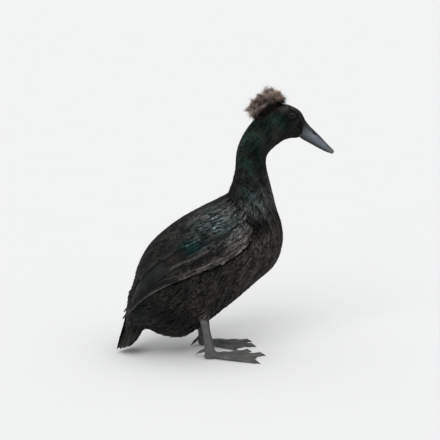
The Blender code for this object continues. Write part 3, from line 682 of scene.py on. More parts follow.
def set_values(mesh, values):
    """Writes values, or colours, at a mesh's points."""
    for key, value in values.items():
        kind, part = ("FLOAT_COLOR", "color") if value.ndim == 2 else ("FLOAT", "value")
        layer = mesh.attributes.get(key) or mesh.attributes.new(key, kind, "POINT")
        layer.data.foreach_set(part, value.astype(np.float32).ravel())


def points_of(mesh):
    points = np.empty(len(mesh.vertices) * 3)
    mesh.vertices.foreach_get("co", points)
    return points.reshape(-1, 3)


def added(name, data):
    """A new object of the scene."""
    obj = bpy.data.objects.new(name, data)
    bpy.context.scene.collection.objects.link(obj)
    return obj


def mesh_object(name, points, faces, look=None, values=None, uv=None):
    """An object from points and triangles, with values at its points and its own OFBake map."""
    mesh = bpy.data.meshes.new(name)
    mesh.from_pydata(points.tolist(), [], faces.tolist())
    set_values(mesh, values or {})
    if uv is not None:
        layer = mesh.uv_layers.new(name="OFBake")
        layer.data.foreach_set("uv", uv.astype(np.float32).ravel())
    mesh.shade_smooth()
    if look:
        mesh.materials.append(look)
    return added(name, mesh)


def baked(obj):
    """Applies an object's modifiers, and leaves it a plain mesh."""
    graph = bpy.context.evaluated_depsgraph_get()
    mesh = bpy.data.meshes.new_from_object(obj.evaluated_get(graph))
    obj.modifiers.clear()
    old, obj.data = obj.data, mesh
    mesh.name = obj.name
    bpy.data.meshes.remove(old)
    return obj


def remeshed(obj, voxel, smoothing):
    """Fuses overlapping closed shells into one, and softens where they meet."""
    step = obj.modifiers.new("Fuse", "REMESH")
    step.mode = "VOXEL"
    step.voxel_size = voxel
    step.use_smooth_shade = True
    soft = obj.modifiers.new("Soften", "SMOOTH")
    soft.factor = 0.5
    soft.iterations = smoothing
    return baked(obj)


def cut(obj, points, faces):
    """Cuts a closed shape out of an object."""
    tool = mesh_object("cutter", points, faces, obj.data.materials[0])
    step = obj.modifiers.new("Cut", "BOOLEAN")
    step.operation = "DIFFERENCE"
    step.solver = "MANIFOLD"
    step.object = tool
    baked(obj)
    bpy.data.objects.remove(tool)
    obj.data.shade_smooth()


def ball(centre, radii, turn=None, rings=24, sides=32):
    """A closed ellipsoid, its poles along its own Y."""
    lean = np.linspace(0.02, np.pi - 0.02, rings)[:, None]
    around = turns(sides)[None]
    flat = np.sin(lean)
    shape = np.stack([flat * np.cos(around), np.cos(lean) + 0 * around, flat * np.sin(around)], -1)
    shape = shape * np.array(radii)
    if turn:
        shape = shape @ np.array(turn.to_3x3()).T
    return shell(shape + np.array(centre))


def finish_piece(obj, slot, *nodes):
    """Rides a piece on the body, and hides the parts of the frame that it takes the place of. Its slot is not
    used.
    """
    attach(obj, "root")
    if nodes:
        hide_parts(*nodes)
    return obj


# Node trees


def put(tree, kind, values=None, **settings):
    """Adds a node, with its settings, its values and the sockets that feed it."""
    node = tree.nodes.new(kind)
    for key, value in settings.items():
        setattr(node, key, value)
    for key, value in (values or {}).items():
        if isinstance(value, bpy.types.NodeSocket):
            tree.links.new(value, node.inputs[key])
        else:
            node.inputs[key].default_value = value
    return node


def calc(tree, operation, *values):
    return put(tree, "ShaderNodeMath", dict(enumerate(values)), operation=operation).outputs[0]


def times(tree, product, *values):
    """The product of two or more values."""
    for value in values:
        product = calc(tree, "MULTIPLY", product, value)
    return product


def scaled(tree, colour, shade):
    return put(tree, "ShaderNodeVectorMath", {0: colour, 3: shade}, operation="SCALE").outputs[0]


def blend(tree, share, first, second):
    """A mix of two colours, each a socket or plain numbers."""
    first, second = (
        value if isinstance(value, bpy.types.NodeSocket) else (*value[:3], 1) for value in (first, second)
    )
    return put(tree, "ShaderNodeMix", {0: share, 6: first, 7: second}, data_type="RGBA").outputs[2]


def ramp(tree, value, low, high, to_low=0.0, to_high=1.0):
    values = {0: value, 1: low, 2: high, 3: to_low, 4: to_high}
    return put(tree, "ShaderNodeMapRange", values, interpolation_type="SMOOTHSTEP").outputs[0]


def attribute(tree, name, output="Fac"):
    return put(tree, "ShaderNodeAttribute", attribute_name=name).outputs[output]


def noise(tree, vector, scale, detail=2.0, roughness=0.5):
    values = {"Vector": vector, "Scale": scale, "Detail": detail, "Roughness": roughness}
    return put(tree, "ShaderNodeTexNoise", values).outputs[0]


def object_place(tree):
    return put(tree, "ShaderNodeTexCoord").outputs["Object"]


def new_tree(name, kind, inputs, outputs):
    """A node tree with named sockets, and its input and output nodes."""
    tree = bpy.data.node_groups.new(name, kind)
    for way, sockets in (("INPUT", inputs), ("OUTPUT", outputs)):
        for label, socket in sockets.items():
            tree.interface.new_socket(name=label, in_out=way, socket_type="NodeSocket" + socket)
    return tree, tree.nodes.new("NodeGroupInput"), tree.nodes.new("NodeGroupOutput")


def shader_group(name):
    """One of the effects that materials share, as a node group with named sockets."""
    inputs, outputs, build = EFFECTS[name]
    tree, source, target = new_tree(name, "ShaderNodeTree", inputs, outputs)
    for label, socket in build(tree, source.outputs).items():
        tree.links.new(socket, target.inputs[label])
    return tree


def use_group(tree, name, values):
    """Adds a shared effect, which is made once, with its numbers and colours."""
    group = bpy.data.node_groups.get(name) or shader_group(name)
    plain = {key: (*value, 1) if hasattr(value, "__len__") else value for key, value in values.items()}
    return put(tree, "ShaderNodeGroup", plain, node_tree=group).outputs


def build_tones(tree, given):
    """The plumage's colour: black, browned at the feathers' tips, with its shining and pale marks, and
    darkened by its dark marks, which are partly painted shade.
    """
    marks = put(tree, "ShaderNodeAttribute", attribute_name="marks")
    green, teal, pale = put(tree, "ShaderNodeSeparateColor", {0: marks.outputs["Color"]}).outputs
    tone = attribute(tree, "tone")
    cloudy = noise(tree, object_place(tree), 38.0, 3.0, 0.6)
    tips = ramp(tree, attribute(tree, "along"), 0.45, 1.0)
    fringe = times(tree, tips, attribute(tree, "fringe"), ramp(tree, cloudy, 0.3, 0.62, 0.25, 1.0))
    colour = blend(tree, fringe, given["Black"], given["Brown"])
    patchy = ramp(tree, cloudy, 0.36, 0.58, 0.45, 1.0)
    colour = blend(tree, times(tree, green, patchy), colour, given["Green"])
    colour = blend(tree, times(tree, teal, patchy), colour, given["Teal"])
    # Pale marks: light feather edges, and in places a painted grey sheen.
    pale = times(tree, pale, ramp(tree, tone, 0.0, 1.0, 0.75, 1.0))
    pale = calc(tree, "MAXIMUM", pale, attribute(tree, "edge"))
    cool = blend(tree, teal, given["Pale"], given["Frost"])
    colour = blend(tree, calc(tree, "MINIMUM", pale, 1.0), colour, cool)
    # The fourth mark, in the alpha, darkens the colour: painted shade in the hollows, below the wing and on
    # the belly, and darker plumage elsewhere.
    shade = times(
        tree,
        ramp(tree, tone, 0.0, 1.0, 0.25, 1.95),
        ramp(tree, cloudy, 0.25, 0.75, 0.7, 1.3),
        ramp(tree, teal, 0.9, 1.0, 1.0, 2.2),
        calc(tree, "SUBTRACT", 1.0, times(tree, marks.outputs["Alpha"], 0.78)),
    )
    sheen = calc(tree, "MINIMUM", calc(tree, "ADD", green, teal), 1.0)
    return {"Colour": scaled(tree, colour, shade), "Sheen": sheen}


def build_barbs(tree, given):
    """Fine streaks that run out from a feather's shaft, and the height that they give."""
    barb = times(tree, attribute(tree, "barb"), given["Pitch"])
    own = times(tree, attribute(tree, "tone"), 57.0)
    row = put(tree, "ShaderNodeCombineXYZ", {0: barb, 1: own, 2: 0.0}).outputs[0]
    fine = noise(tree, row, 1.0, 3.0, 0.65)
    return {"Streak": ramp(tree, fine, 0.25, 0.75), "Height": fine}


def build_scales(tree, given):
    """Small round scales of bare skin: their height, and the dark creases between them."""
    place = object_place(tree)
    values = {"Vector": place, "Scale": given["Scale"]}
    cell = put(tree, "ShaderNodeTexVoronoi", values, feature="DISTANCE_TO_EDGE").outputs[0]
    flat = ramp(tree, cell, 0.0, 0.16)
    height = calc(tree, "ADD", flat, times(tree, noise(tree, place, 300.0), 0.25))
    return {"Height": height, "Crease": calc(tree, "SUBTRACT", 1.0, flat)}


PLUMAGE_COLOURS = ("Black", "Brown", "Green", "Teal", "Pale", "Frost")
EFFECTS = {
    "plumage_tones": (
        dict.fromkeys(PLUMAGE_COLOURS, "Color"), {"Colour": "Color", "Sheen": "Float"}, build_tones
    ),
    "feather_barbs": ({"Pitch": "Float"}, {"Streak": "Float", "Height": "Float"}, build_barbs),
    "skin_scales": ({"Scale": "Float"}, {"Height": "Float", "Crease": "Float"}, build_scales),
}


def new_look(name, roughness, specular):
    """A material with its Principled shader's plain values set."""
    made = bpy.data.materials.new(name)
    made.use_nodes = True
    shader = made.node_tree.nodes["Principled BSDF"]
    shader.inputs["Roughness"].default_value = roughness
    shader.inputs["Specular IOR Level"].default_value = specular
    return made, made.node_tree, shader


def bumped(tree, shader, height, strength, distance):
    bump = put(tree, "ShaderNodeBump", {"Strength": strength, "Distance": distance, "Height": height})
    tree.links.new(bump.outputs[0], shader.inputs["Normal"])


def plumage_look(name, sizes, pitch, streak_depth, roughness, specular, bump):
    """Feathers in the duck's colours, with painted shade and a painted grey sheen from their marks, and
    streaks along their barbs.
    """
    made = bpy.data.materials.get(name)
    if made:
        return made
    made, tree, shader = new_look(name, roughness, specular)
    tones = use_group(tree, "plumage_tones", {key: getattr(sizes, key.lower()) for key in PLUMAGE_COLOURS})
    barbs = use_group(tree, "feather_barbs", {"Pitch": pitch})
    darken = ramp(tree, barbs["Streak"], 0.0, 1.0, 1.0 - streak_depth, 1.0 + 0.6 * streak_depth)
    tree.links.new(scaled(tree, tones["Colour"], darken), shader.inputs["Base Color"])
    tree.links.new(times(tree, tones["Sheen"], 0.8), shader.inputs["Metallic"])
    rough = ramp(tree, barbs["Streak"], 0.0, 1.0, roughness + 0.1, roughness - 0.08)
    rough = calc(tree, "SUBTRACT", rough, times(tree, tones["Sheen"], 0.12))
    tree.links.new(rough, shader.inputs["Roughness"])
    bumped(tree, shader, barbs["Height"], bump, 0.0004)
    return made


def body_look(sizes):
    return plumage_look("duck_plumage", sizes, 800.0, 0.42, 0.5, 0.13, 0.3)


def vane_look(sizes):
    return plumage_look("duck_flight_feathers", sizes, 560.0, 0.55, 0.45, 0.16, 0.5)


# The skin


def skin_depth(place):
    return table_at(COAT, place)[3] * MM


def body_shell():
    """The body's own flesh, from the rump to the bill."""
    places = np.concatenate([np.linspace(RUMP_END, 16, 120), np.linspace(16, BILL_BASE + 0.03, 70)[1:]])
    angles = turns(84)
    place, angle = np.meshgrid(places, angles, indexing="ij")
    return shell(body_point(place, angle, relief(place, angle) - skin_depth(place)))


def core_lift(share, t):
    """The height of the wing's front over the body, across it and along it."""
    swell = (np.sin(np.pi * share) * np.minimum(1, (1 - t) * 3 + 0.15)) ** 0.45
    return WING_CORE_EDGE_LIFT_MM + (WING_CORE_LIFT_MM - WING_CORE_EDGE_LIFT_MM) * swell


def wing_front(side):
    """The flesh of the wing's front, under its small coverts."""
    t = np.linspace(0, 1, 30)
    rows = curve_through(WING_CORE, (len(WING_CORE) - 1) * t)
    k = np.linspace(0, 1, 24)
    place = rows[:, 0][:, None] + 0 * k
    angle = side * angle_at(rows[:, 1][:, None] + (rows[:, 2] - rows[:, 1])[:, None] * k)
    outer = body_point(place, angle, (core_lift(k[None], t[:, None]) - COVERT_DEPTH_MM) * MM)
    inner = body_point(place, angle, np.full(place.shape, -7 * MM))
    return shell(np.concatenate([outer, inner[:, ::-1]], axis=1))


def leg_points(side):
    """The middles of the thigh's top, the hock and the foot's joint."""
    top, hock, joint = (at_side(point, side) for point in (THIGH_TOP_MM, HOCK_MM, FOOT_JOINT_MM))
    if side == LEFT:
        back = HEEL_MM[LEFT][0] - HEEL_MM[RIGHT][0]
        out = HEEL_MM[LEFT][1] + HEEL_MM[RIGHT][1]
        step = Vector((back, out, 0)) * MM
        top += step / 2
        hock += step
        joint += step
    return top, hock, joint


def thigh_point(side, share, angle, grow=0.0):
    """Points of a thigh's surface: the share of the way down, and the angle round it."""
    fore, across = (radius * MM + grow for radius in table_at(THIGH_STATIONS, share))
    flat = np.stack([fore * np.cos(angle), across * np.sin(angle), 0 * angle], -1)
    return between(leg_points(side)[:2], np.asarray(share)[..., None]) + flat


def thigh_shell(side):
    share, angle = np.meshgrid(np.linspace(0, 1.02, 24), turns(36), indexing="ij")
    sink = -THIGH_COAT_MM * MM * (1 - 0.75 * share**3)
    return shell(thigh_point(side, share, angle, sink))


def stump_point(t, angle, grow=0.0):
    """Points of the stump that the tail's feathers stand in: the way along it, and round it."""
    top_x, top_z, low_x, low_z, half = curve_through(BODY_ROWS, float(RUMP_END))
    t, angle = np.broadcast_arrays(np.asarray(t, float), np.asarray(angle, float))
    t, angle = t[..., None], angle[..., None]
    centre = np.array([(top_x + low_x) / 2, 0, (top_z + low_z) / 2])
    rise = np.array([(top_x - low_x) / 2, 0, (top_z - low_z) / 2])
    ends = [np.array(TAIL_ROOTS_MM[i]) * 0.45 + np.array(TAIL_TIPS_MM[i]) * 0.55 for i in (0, 1)]
    ends[1][1] = 0
    middle = centre + ((ends[0] + ends[1]) / 2 - centre) * t
    up = (rise + ((ends[0] - ends[1]) / 2 - rise) * t) * (0.9 - 0.3 * t**3)
    wide = (half + (13 - half) * t) * 0.88
    across = np.array([0, 1, 0]) * (wide + grow) * np.sin(angle)
    return placed(middle + up * np.cos(angle) * (1 + grow / 20) + across)


def tail_shell():
    t, angle = np.meshgrid(np.linspace(0, 1, 12), turns(40), indexing="ij")
    return shell(stump_point(t, angle))


class DUCK_OT_skin(bpy.types.Operator):
    """Makes the one skin that all the feathers lie on"""

    bl_idname = "duck.skin"
    bl_label = "Skin"

    def execute(self, context):
        shells = [body_shell(), tail_shell()]
        for side in SIDES.values():
            shells += [wing_front(side), thigh_shell(side)]
        radii = [radius * MM for radius in CREST_CORE_RADII_MM]
        shells.append(ball(at_side(CREST_CORE_AT_MM), radii, Matrix.Rotation(CREST_CORE_PITCH, 4, "Y")))
        skin = mesh_object("duck_skin", *merged(shells), body_look(context.scene.plumage_sizes))
        remeshed(skin, SKIN_VOXEL_MM * MM, 4)
        for side in SIDES.values():
            socket = (EYE_RADIUS_MM * MM + 0.2 * MM,) * 3
            cut(skin, *ball(at_side(EYE_AT_MM, side), socket))
        points = points_of(skin.data)
        set_values(skin.data, {"marks": marks_at(points) * 0.8, "tone": np.full(len(points), 0.15)})
        finish_piece(skin, "plumage", "torso", "neck", "head", "thigh_right", "thigh_left")
        return {"FINISHED"}


# Small feathers


# The shares along a feather's spine and its widths there, by the number of its rings.
SMALL_SHARES = {
    4: (0.0, 0.38, 0.76, 1.0),
    5: (0.0, 0.28, 0.58, 0.84, 1.0),
}
SMALL_WIDTHS = {
    4: (0.6, 1.0, 0.85, 0.2),
    5: (0.5, 0.9, 1.0, 0.84, 0.3),
}
# How many random places are drawn for each one that is kept.
CROWD = 5.0


class Ground:
    """The skin, as what feathers are laid on."""

    def __init__(self, obj):
        mesh = obj.data
        normals = np.empty(len(mesh.vertices) * 3)
        mesh.vertices.foreach_get("normal", normals)
        mesh.calc_loop_triangles()
        faces = np.empty(len(mesh.loop_triangles) * 3, np.int32)
        mesh.loop_triangles.foreach_get("vertices", faces)
        self.faces = faces.reshape(-1, 3)
        self.normals = normals.reshape(-1, 3)
        self.tree = BVHTree.FromPolygons(points_of(mesh).tolist(), self.faces.tolist())

    def nearest(self, points):
        """The nearest points of the skin, and the skin's normals there."""
        found, faces = [], []
        for point in points.tolist():
            place, _, face, _ = self.tree.find_nearest(point)
            found.append(tuple(place))
            faces.append(face)
        return np.array(found), unit(self.normals[self.faces[faces]].mean(axis=1))


def spread_out(points, gaps):
    """Picks points in their order, so that each keeps its gap to those picked before it."""
    tree = kdtree.KDTree(len(points))
    for i, point in enumerate(points.tolist()):
        tree.insert(point, i)
    tree.balance()
    free = bytearray(b"\x01") * len(points)
    picked = []
    gaps = gaps.tolist()
    for i, point in enumerate(points.tolist()):
        if free[i]:
            picked.append(i)
            for _, j, _ in tree.find_range(point, gaps[i]):
                free[j] = 0
    return np.array(picked)


def scattered(surface, first, last, gap_of, chance):
    """Even random places on a surface of two coordinates, kept apart by their gaps."""
    low, high = np.array(first, float), np.array(last, float)

    def drawn(count):
        at = low + (high - low) * chance.random((count, 2))
        gaps = gap_of(at[:, 0], at[:, 1])
        area = np.linalg.norm(np.cross(*slopes(surface, at[:, 0], at[:, 1], 0.01)), axis=1)
        return at, gaps, area / gaps**2

    _, _, weight = drawn(4000)
    most = weight.max() * 1.2
    count = int(CROWD * most * np.prod(high - low))
    at, gaps, weight = drawn(count)
    kept = chance.random(count) < weight / most
    at, gaps = at[kept], gaps[kept]
    picked = spread_out(surface(at[:, 0], at[:, 1]), gaps)
    return at[picked, 0], at[picked, 1]


def laid(ground, roots, ways, normals, sizes, rings, chance):
    """Walks each feather's spine over the skin, from its root along its way, a little astray."""
    lengths, _, _, ruffles = sizes
    shares = SMALL_SHARES[rings]
    sway = 0.7 * (mottled(roots, 17 * MM) - 0.5) + chance.normal(0, 0.13, len(roots))
    ways = turned(ways, normals, sway * (0.45 + ruffles))
    points, normals = ground.nearest(roots)
    line, ups = [points], [normals]
    for before, after in zip(shares, shares[1:]):
        ways = unit(ways - normals * np.sum(ways * normals, axis=1, keepdims=True))
        found, normals = ground.nearest(points + ways * lengths[:, None] * (after - before))
        ways = unit(found - points + ways * 1e-6)
        points = found
        line.append(points)
        ups.append(normals)
    return np.stack(line, 1), np.stack(ups, 1)


def turned(ways, normals, angles):
    """Ways turned about their normals."""
    side = np.cross(normals, ways)
    return ways * np.cos(angles)[:, None] + side * np.sin(angles)[:, None]


def homes_at(across, along):
    """The places of feathers' roots on the unwrapped skin."""
    return np.stack([across, along], -1) * 0.99 + 0.005


def small_map(homes, around, along):
    """The OFBake map of small pieces: a small patch for each, at its home."""
    home = np.repeat(homes, len(around) // len(homes), axis=0)[:, None, :]
    return (home + 0.003 * (np.stack([around, along], -1) - 0.5)).reshape(-1, 2)


def small_feathers(name, look, spines, sizes, homes, chance, fringe=1.0, winged=False):
    """One piece of small feathers over their spines. The sizes are arrays of lengths, widths,
    rises and ruffles, and the homes are the places of the roots on the unwrapped skin."""
    lengths, widths, rises, ruffles = sizes
    line, ups = spines
    count, rings = line.shape[:2]
    roots = line[:, 0]
    shares = np.array(SMALL_SHARES[rings])
    lift = rises[:, None] * shares**0.65 * chance.uniform(0.78, 1.05, (count, 1))
    lift = lift + (ruffles * lengths * 0.07)[:, None] * chance.random((count, 1)) ** 3 * shares**2
    line = line + ups * lift[..., None]
    way = unit(np.gradient(line, axis=1))
    side = unit(np.cross(way, ups))
    over = np.cross(side, way)
    wide = widths[:, None] * np.array(SMALL_WIDTHS[rings]) * chance.uniform(0.85, 1.15, (count, 1)) / 2
    ragged = 1 + 0.22 * chance.normal(size=(count, rings, 2)) * (0.3 + ruffles[:, None, None])
    thick = np.maximum(widths * 0.045, 0.07 * MM)[:, None, None]
    sag = over * (thick + 0.12 * wide[..., None])
    left = line - side * (wide * ragged[..., 0])[..., None] - sag
    right = line + side * (wide * ragged[..., 1])[..., None] - sag
    ridge = line + over * thick
    section = np.stack([left, ridge, right], 2)
    points, faces, around = tubes(section)
    shape = (count, rings, 3)
    along = np.broadcast_to(shares[None, :, None], shape)
    across = np.broadcast_to(np.array([-1.0, 0.0, 1.0]), shape)
    out = np.abs(across) * wide[..., None]
    barb = along * lengths[:, None, None] - out * 0.8
    marks = marks_at(roots + chance.normal(0, 2.2 * MM, roots.shape), winged)
    streaky = mottled(roots * np.array([1, 1, 0.5]), 7 * MM)
    strength = np.array([0.32, 0.68, 0.75, 0.9]) + np.outer(streaky, [1.1, 0.45, 0.4, 0.2])
    marks = np.clip(marks * strength, 0, 1)
    tone = 0.55 * mottled(roots, 10 * MM) + 0.45 * chance.random(count)
    values = {
        "along": along.ravel(),
        "barb": barb.ravel(),
        "tone": np.repeat(tone, rings * 3),
        "fringe": np.repeat(fringe * chance.uniform(0.25, 1.0, count), rings * 3),
        "marks": np.repeat(marks, rings * 3, axis=0),
    }
    uv = small_map(homes, around, along.ravel()[faces])
    obj = mesh_object(name, points, faces, look, values, uv)
    return finish_piece(obj, "flight_feathers" if winged else "plumage")


def coat_sizes(place, angle, sizes):
    """The lengths, widths, rises and ruffles of the body's feathers."""
    length, width, _, depth, ruffle = table_at(COAT, place)
    low = np.clip((-np.cos(angle) - 0.55) / 0.4, 0, 1)
    shaggy = low * np.clip(1 - np.abs(place - 3.2) / 2.2, 0, 1)
    length = length * (1 + 0.55 * shaggy) * np.where(place < 15, 1.12, 1.0) * sizes.length
    # The feathers just ahead of the folded wing are short, so that its front stays clear.
    beside = np.clip((place - 7.75) / 1.1, 0.4, 1)
    share = share_at(angle)
    length = np.where((place > 7.6) & (share > 0.14) & (share < 0.62), length * beside, length)
    width = width * np.where(place < 15, 0.88, 1.0) * (1 - 0.25 * shaggy)
    depth = depth * (1 + 0.5 * shaggy)
    return [length * MM, width * MM, depth * MM, ruffle + 0.8 * shaggy]


class DUCK_OT_coat(bpy.types.Operator):
    """Lays the small feathers of the body, the neck, the head and the thighs on the skin"""

    bl_idname = "duck.coat"
    bl_label = "Small feathers"

    def execute(self, context):
        sizes = context.scene.plumage_sizes
        ground = Ground(bpy.data.objects["duck_skin"])
        look = body_look(sizes)
        for name, (first, last) in COAT_PIECES.items():
            self.lay_body(name, first, last, sizes, ground, look)
        self.lay_stump("coat_tail", ground, look)
        for word, side in SIDES.items():
            self.lay_thigh("coat_thigh_" + word, side, ground, look)
        return {"FINISHED"}

    def lay_stump(self, name, ground, look):
        """The feathers over and under the root of the tail."""
        chance = np.random.default_rng(29)

        def gap_of(t, angle):
            return np.full(len(t), 2.5 * MM)

        t, angle = scattered(stump_point, (-0.1, 0), (0.97, 2 * np.pi), gap_of, chance)
        roots = stump_point(t, angle)
        ways = unit(stump_point(t + 0.05, angle) - stump_point(t - 0.05, angle))
        normals = unit(stump_point(t, angle, 2.0) - roots)
        count = len(roots)
        length, width, ruffle = (np.full(count, value) for value in (13 * MM, 5.4 * MM, 0.6))
        made = [length, width, (2.6 - 1.2 * t) * MM, ruffle]
        homes = homes_at(angle / (2 * np.pi), np.clip(t, 0, 1))
        spines = laid(ground, roots, ways, normals, made, 5, chance)
        small_feathers(name, look, spines, made, homes, chance)

    def lay_body(self, name, first, last, sizes, ground, look):
        chance = np.random.default_rng(COAT_SEEDS[name])

        def gap_of(place, angle):
            return table_at(COAT, place)[2] * MM / max(sizes.closeness, 0.2)

        place, angle = scattered(body_point, (first, 0), (last, 2 * np.pi), gap_of, chance)
        roots = body_point(place, angle, relief(place, angle) - skin_depth(place))
        eyes = [np.array(at_side(EYE_AT_MM, side)) for side in SIDES.values()]
        to_eye = np.min([np.linalg.norm(roots - eye, axis=1) for eye in eyes], axis=0)
        keep = ~inside(WING_OUTLINE, place, share_at(angle)) & (to_eye > EYE_CLEARANCE_MM * MM)
        place, angle, roots = place[keep], angle[keep], roots[keep]
        ways = -unit(body_steps(place, angle)[0])
        made = coat_sizes(place, angle, sizes)
        near = np.clip((to_eye[keep] / MM - 5.6) / 6, 0.35, 1)
        made[0] = made[0] * near
        made[1] = made[1] * near**0.5
        homes = homes_at(angle / (2 * np.pi), (place - first) / (last - first))
        rings = 4 if first > 15 else 5
        spines = laid(ground, roots, ways, body_normal(place, angle), made, rings, chance)
        small_feathers(name, look, spines, made, homes, chance)

    def lay_thigh(self, name, side, ground, look):
        chance = np.random.default_rng(31 + side)

        def surface(share, angle):
            return thigh_point(side, share, angle, -THIGH_COAT_MM * MM)

        def gap_of(share, angle):
            return (3.4 - 1.6 * share) * MM

        share, angle = scattered(surface, (0.3, 0), (0.99, 2 * np.pi), gap_of, chance)
        roots = surface(share, angle)
        down = np.array(leg_points(side)[1] - leg_points(side)[0])
        ways = np.broadcast_to(unit(down), roots.shape)
        normals = unit(np.stack([np.cos(angle), np.sin(angle), 0 * angle], -1))
        length, width, depth = 9 - 5.5 * share, 4.4 - 2.6 * share, 2.4 - 1.5 * share
        made = [length * MM, width * MM, depth * MM, 0.8 - 0.4 * share]
        homes = homes_at(angle / (2 * np.pi), share)
        spines = laid(ground, roots, ways, normals, made, 5, chance)
        small_feathers(name, look, spines, made, homes, chance)


# Flight feathers


VANE_RINGS = 18
VANE_SHARES = np.linspace(0, 1, VANE_RINGS)
VANE_COLUMNS = np.array([-1, -0.72, -0.42, -0.16, -0.045, 0, 0.045, 0.16, 0.42, 0.72, 1])
VANE_AROUND = np.concatenate([VANE_COLUMNS, VANE_COLUMNS[-2:0:-1]])
VANE_ROUNDS = (0.55, 0.8, 0.93, 1.0, 1.0, 0.99, 0.96, 0.86, 0.66, 0.2)


def vanes(line, ups, widths, edges, chance, side, tilt, camber=0.07, skew=0.0):
    """Closed, crowned vanes with a raised shaft, along lines of points under their normals: their
    rings, half widths and lengths, and how pale the edges of the first and of the last one are."""
    rounds = np.interp(VANE_SHARES, np.linspace(0, 1, len(VANE_ROUNDS)), VANE_ROUNDS)
    way = unit(np.gradient(line, axis=1))
    lateral = unit(np.cross(way, ups)) * side
    over = unit(np.cross(way, lateral)) * -side
    half = (widths[:, None] * rounds / 2)[..., None]
    column = VANE_COLUMNS[None, None]
    ragged = chance.random((len(line), VANE_RINGS, len(VANE_COLUMNS))) ** 3
    notch = 1 - 0.16 * ragged * (np.abs(column) > 0.9)
    reach = (column + skew * (1 - column**2)) * notch * half
    height = tilt * reach - camber * half * column**2 * 2
    body = 0.22 * MM * (1 - np.abs(column)) ** 0.5 + 0.05 * MM
    shaft = 0.42 * MM * np.exp(-((column / 0.05) ** 2)) * (1 - 0.8 * VANE_SHARES)[None, :, None]
    flat = line[:, :, None] + lateral[:, :, None] * reach[..., None]
    top = flat + over[:, :, None] * (height + body + shaft)[..., None]
    low = flat + over[:, :, None] * (height - body)[..., None]
    lengths = np.linalg.norm(line[:, -1] - line[:, 0], axis=1)
    return np.concatenate([top, low[:, :, -2:0:-1]], axis=2), half[..., 0], lengths, edges


def vane_piece(name, look, groups, chance):
    """One piece of large feathers, from groups that vanes gives."""
    solids, values, maps, total = [], {}, [], sum(len(group[0]) for group in groups)
    done = 0
    for rings, half, lengths, edges in groups:
        shape = rings.shape[:3]
        count, per = shape[0], shape[1] * shape[2]
        points, faces, around = tubes(rings)
        along = np.broadcast_to(VANE_SHARES[None, :, None], shape)
        column = np.broadcast_to(VANE_AROUND[None, None], shape)
        barb = along * lengths[:, None, None] - np.abs(column) * half[..., None] * 1.1
        pale = np.linspace(*edges, count)[:, None, None] * chance.uniform(0.6, 1.0, (count, 1, 1))
        start = 0.9 - 0.4 * pale
        rim = np.clip((np.abs(column) - start) / 0.2, 0, 1) * (column > 0)
        tip = np.clip((along - 0.92) / 0.08, 0, 1) * 0.35
        bright = np.repeat(chance.uniform(0.65, 1.2, (count, 1)), per, axis=0)
        found = {
            "along": along.ravel(),
            "barb": barb.ravel(),
            "tone": np.repeat(chance.random(count), per),
            "fringe": np.full(count * per, 0.25),
            "edge": np.clip(np.maximum(rim, tip) * pale, 0, 1).ravel(),
            "marks": np.clip(marks_at(points, True) * bright, 0, 1),
        }
        for key, value in found.items():
            values.setdefault(key, []).append(value)
        index = np.repeat(np.arange(count) + done, len(faces) // count)[:, None]
        u = (index + 0.06 + 0.88 * around) / total
        maps.append(np.stack([u, 0.01 + 0.98 * along.ravel()[faces]], -1).reshape(-1, 2))
        solids.append((points, faces))
        done += count
    values = {key: np.concatenate(parts) for key, parts in values.items()}
    return mesh_object(name, *merged(solids), look, values, np.concatenate(maps))


def tier_lines(side, tier, chance):
    """The spines of a tier's feathers over the body, from the lowest feather to the uppermost."""
    share = np.linspace(0, 1, tier["count"])[:, None]
    roots, tips, lifts = (between(tier[key], share) for key in ("roots", "tips", "lifts"))
    tips = tips + chance.normal(0, 1, tips.shape) * np.array([0.05, 0.004])
    t = VANE_SHARES
    way = tips - roots
    place = roots[:, :1] + way[:, :1] * t
    angle = side * angle_at(roots[:, 1:] + way[:, 1:] * t + tier["bend"] * np.sin(np.pi * t))
    lift = lifts[:, :1] + (lifts[:, 1:] - lifts[:, :1]) * np.minimum(1, t / 0.4)
    return body_point(place, angle, lift * MM), body_normal(place, angle)


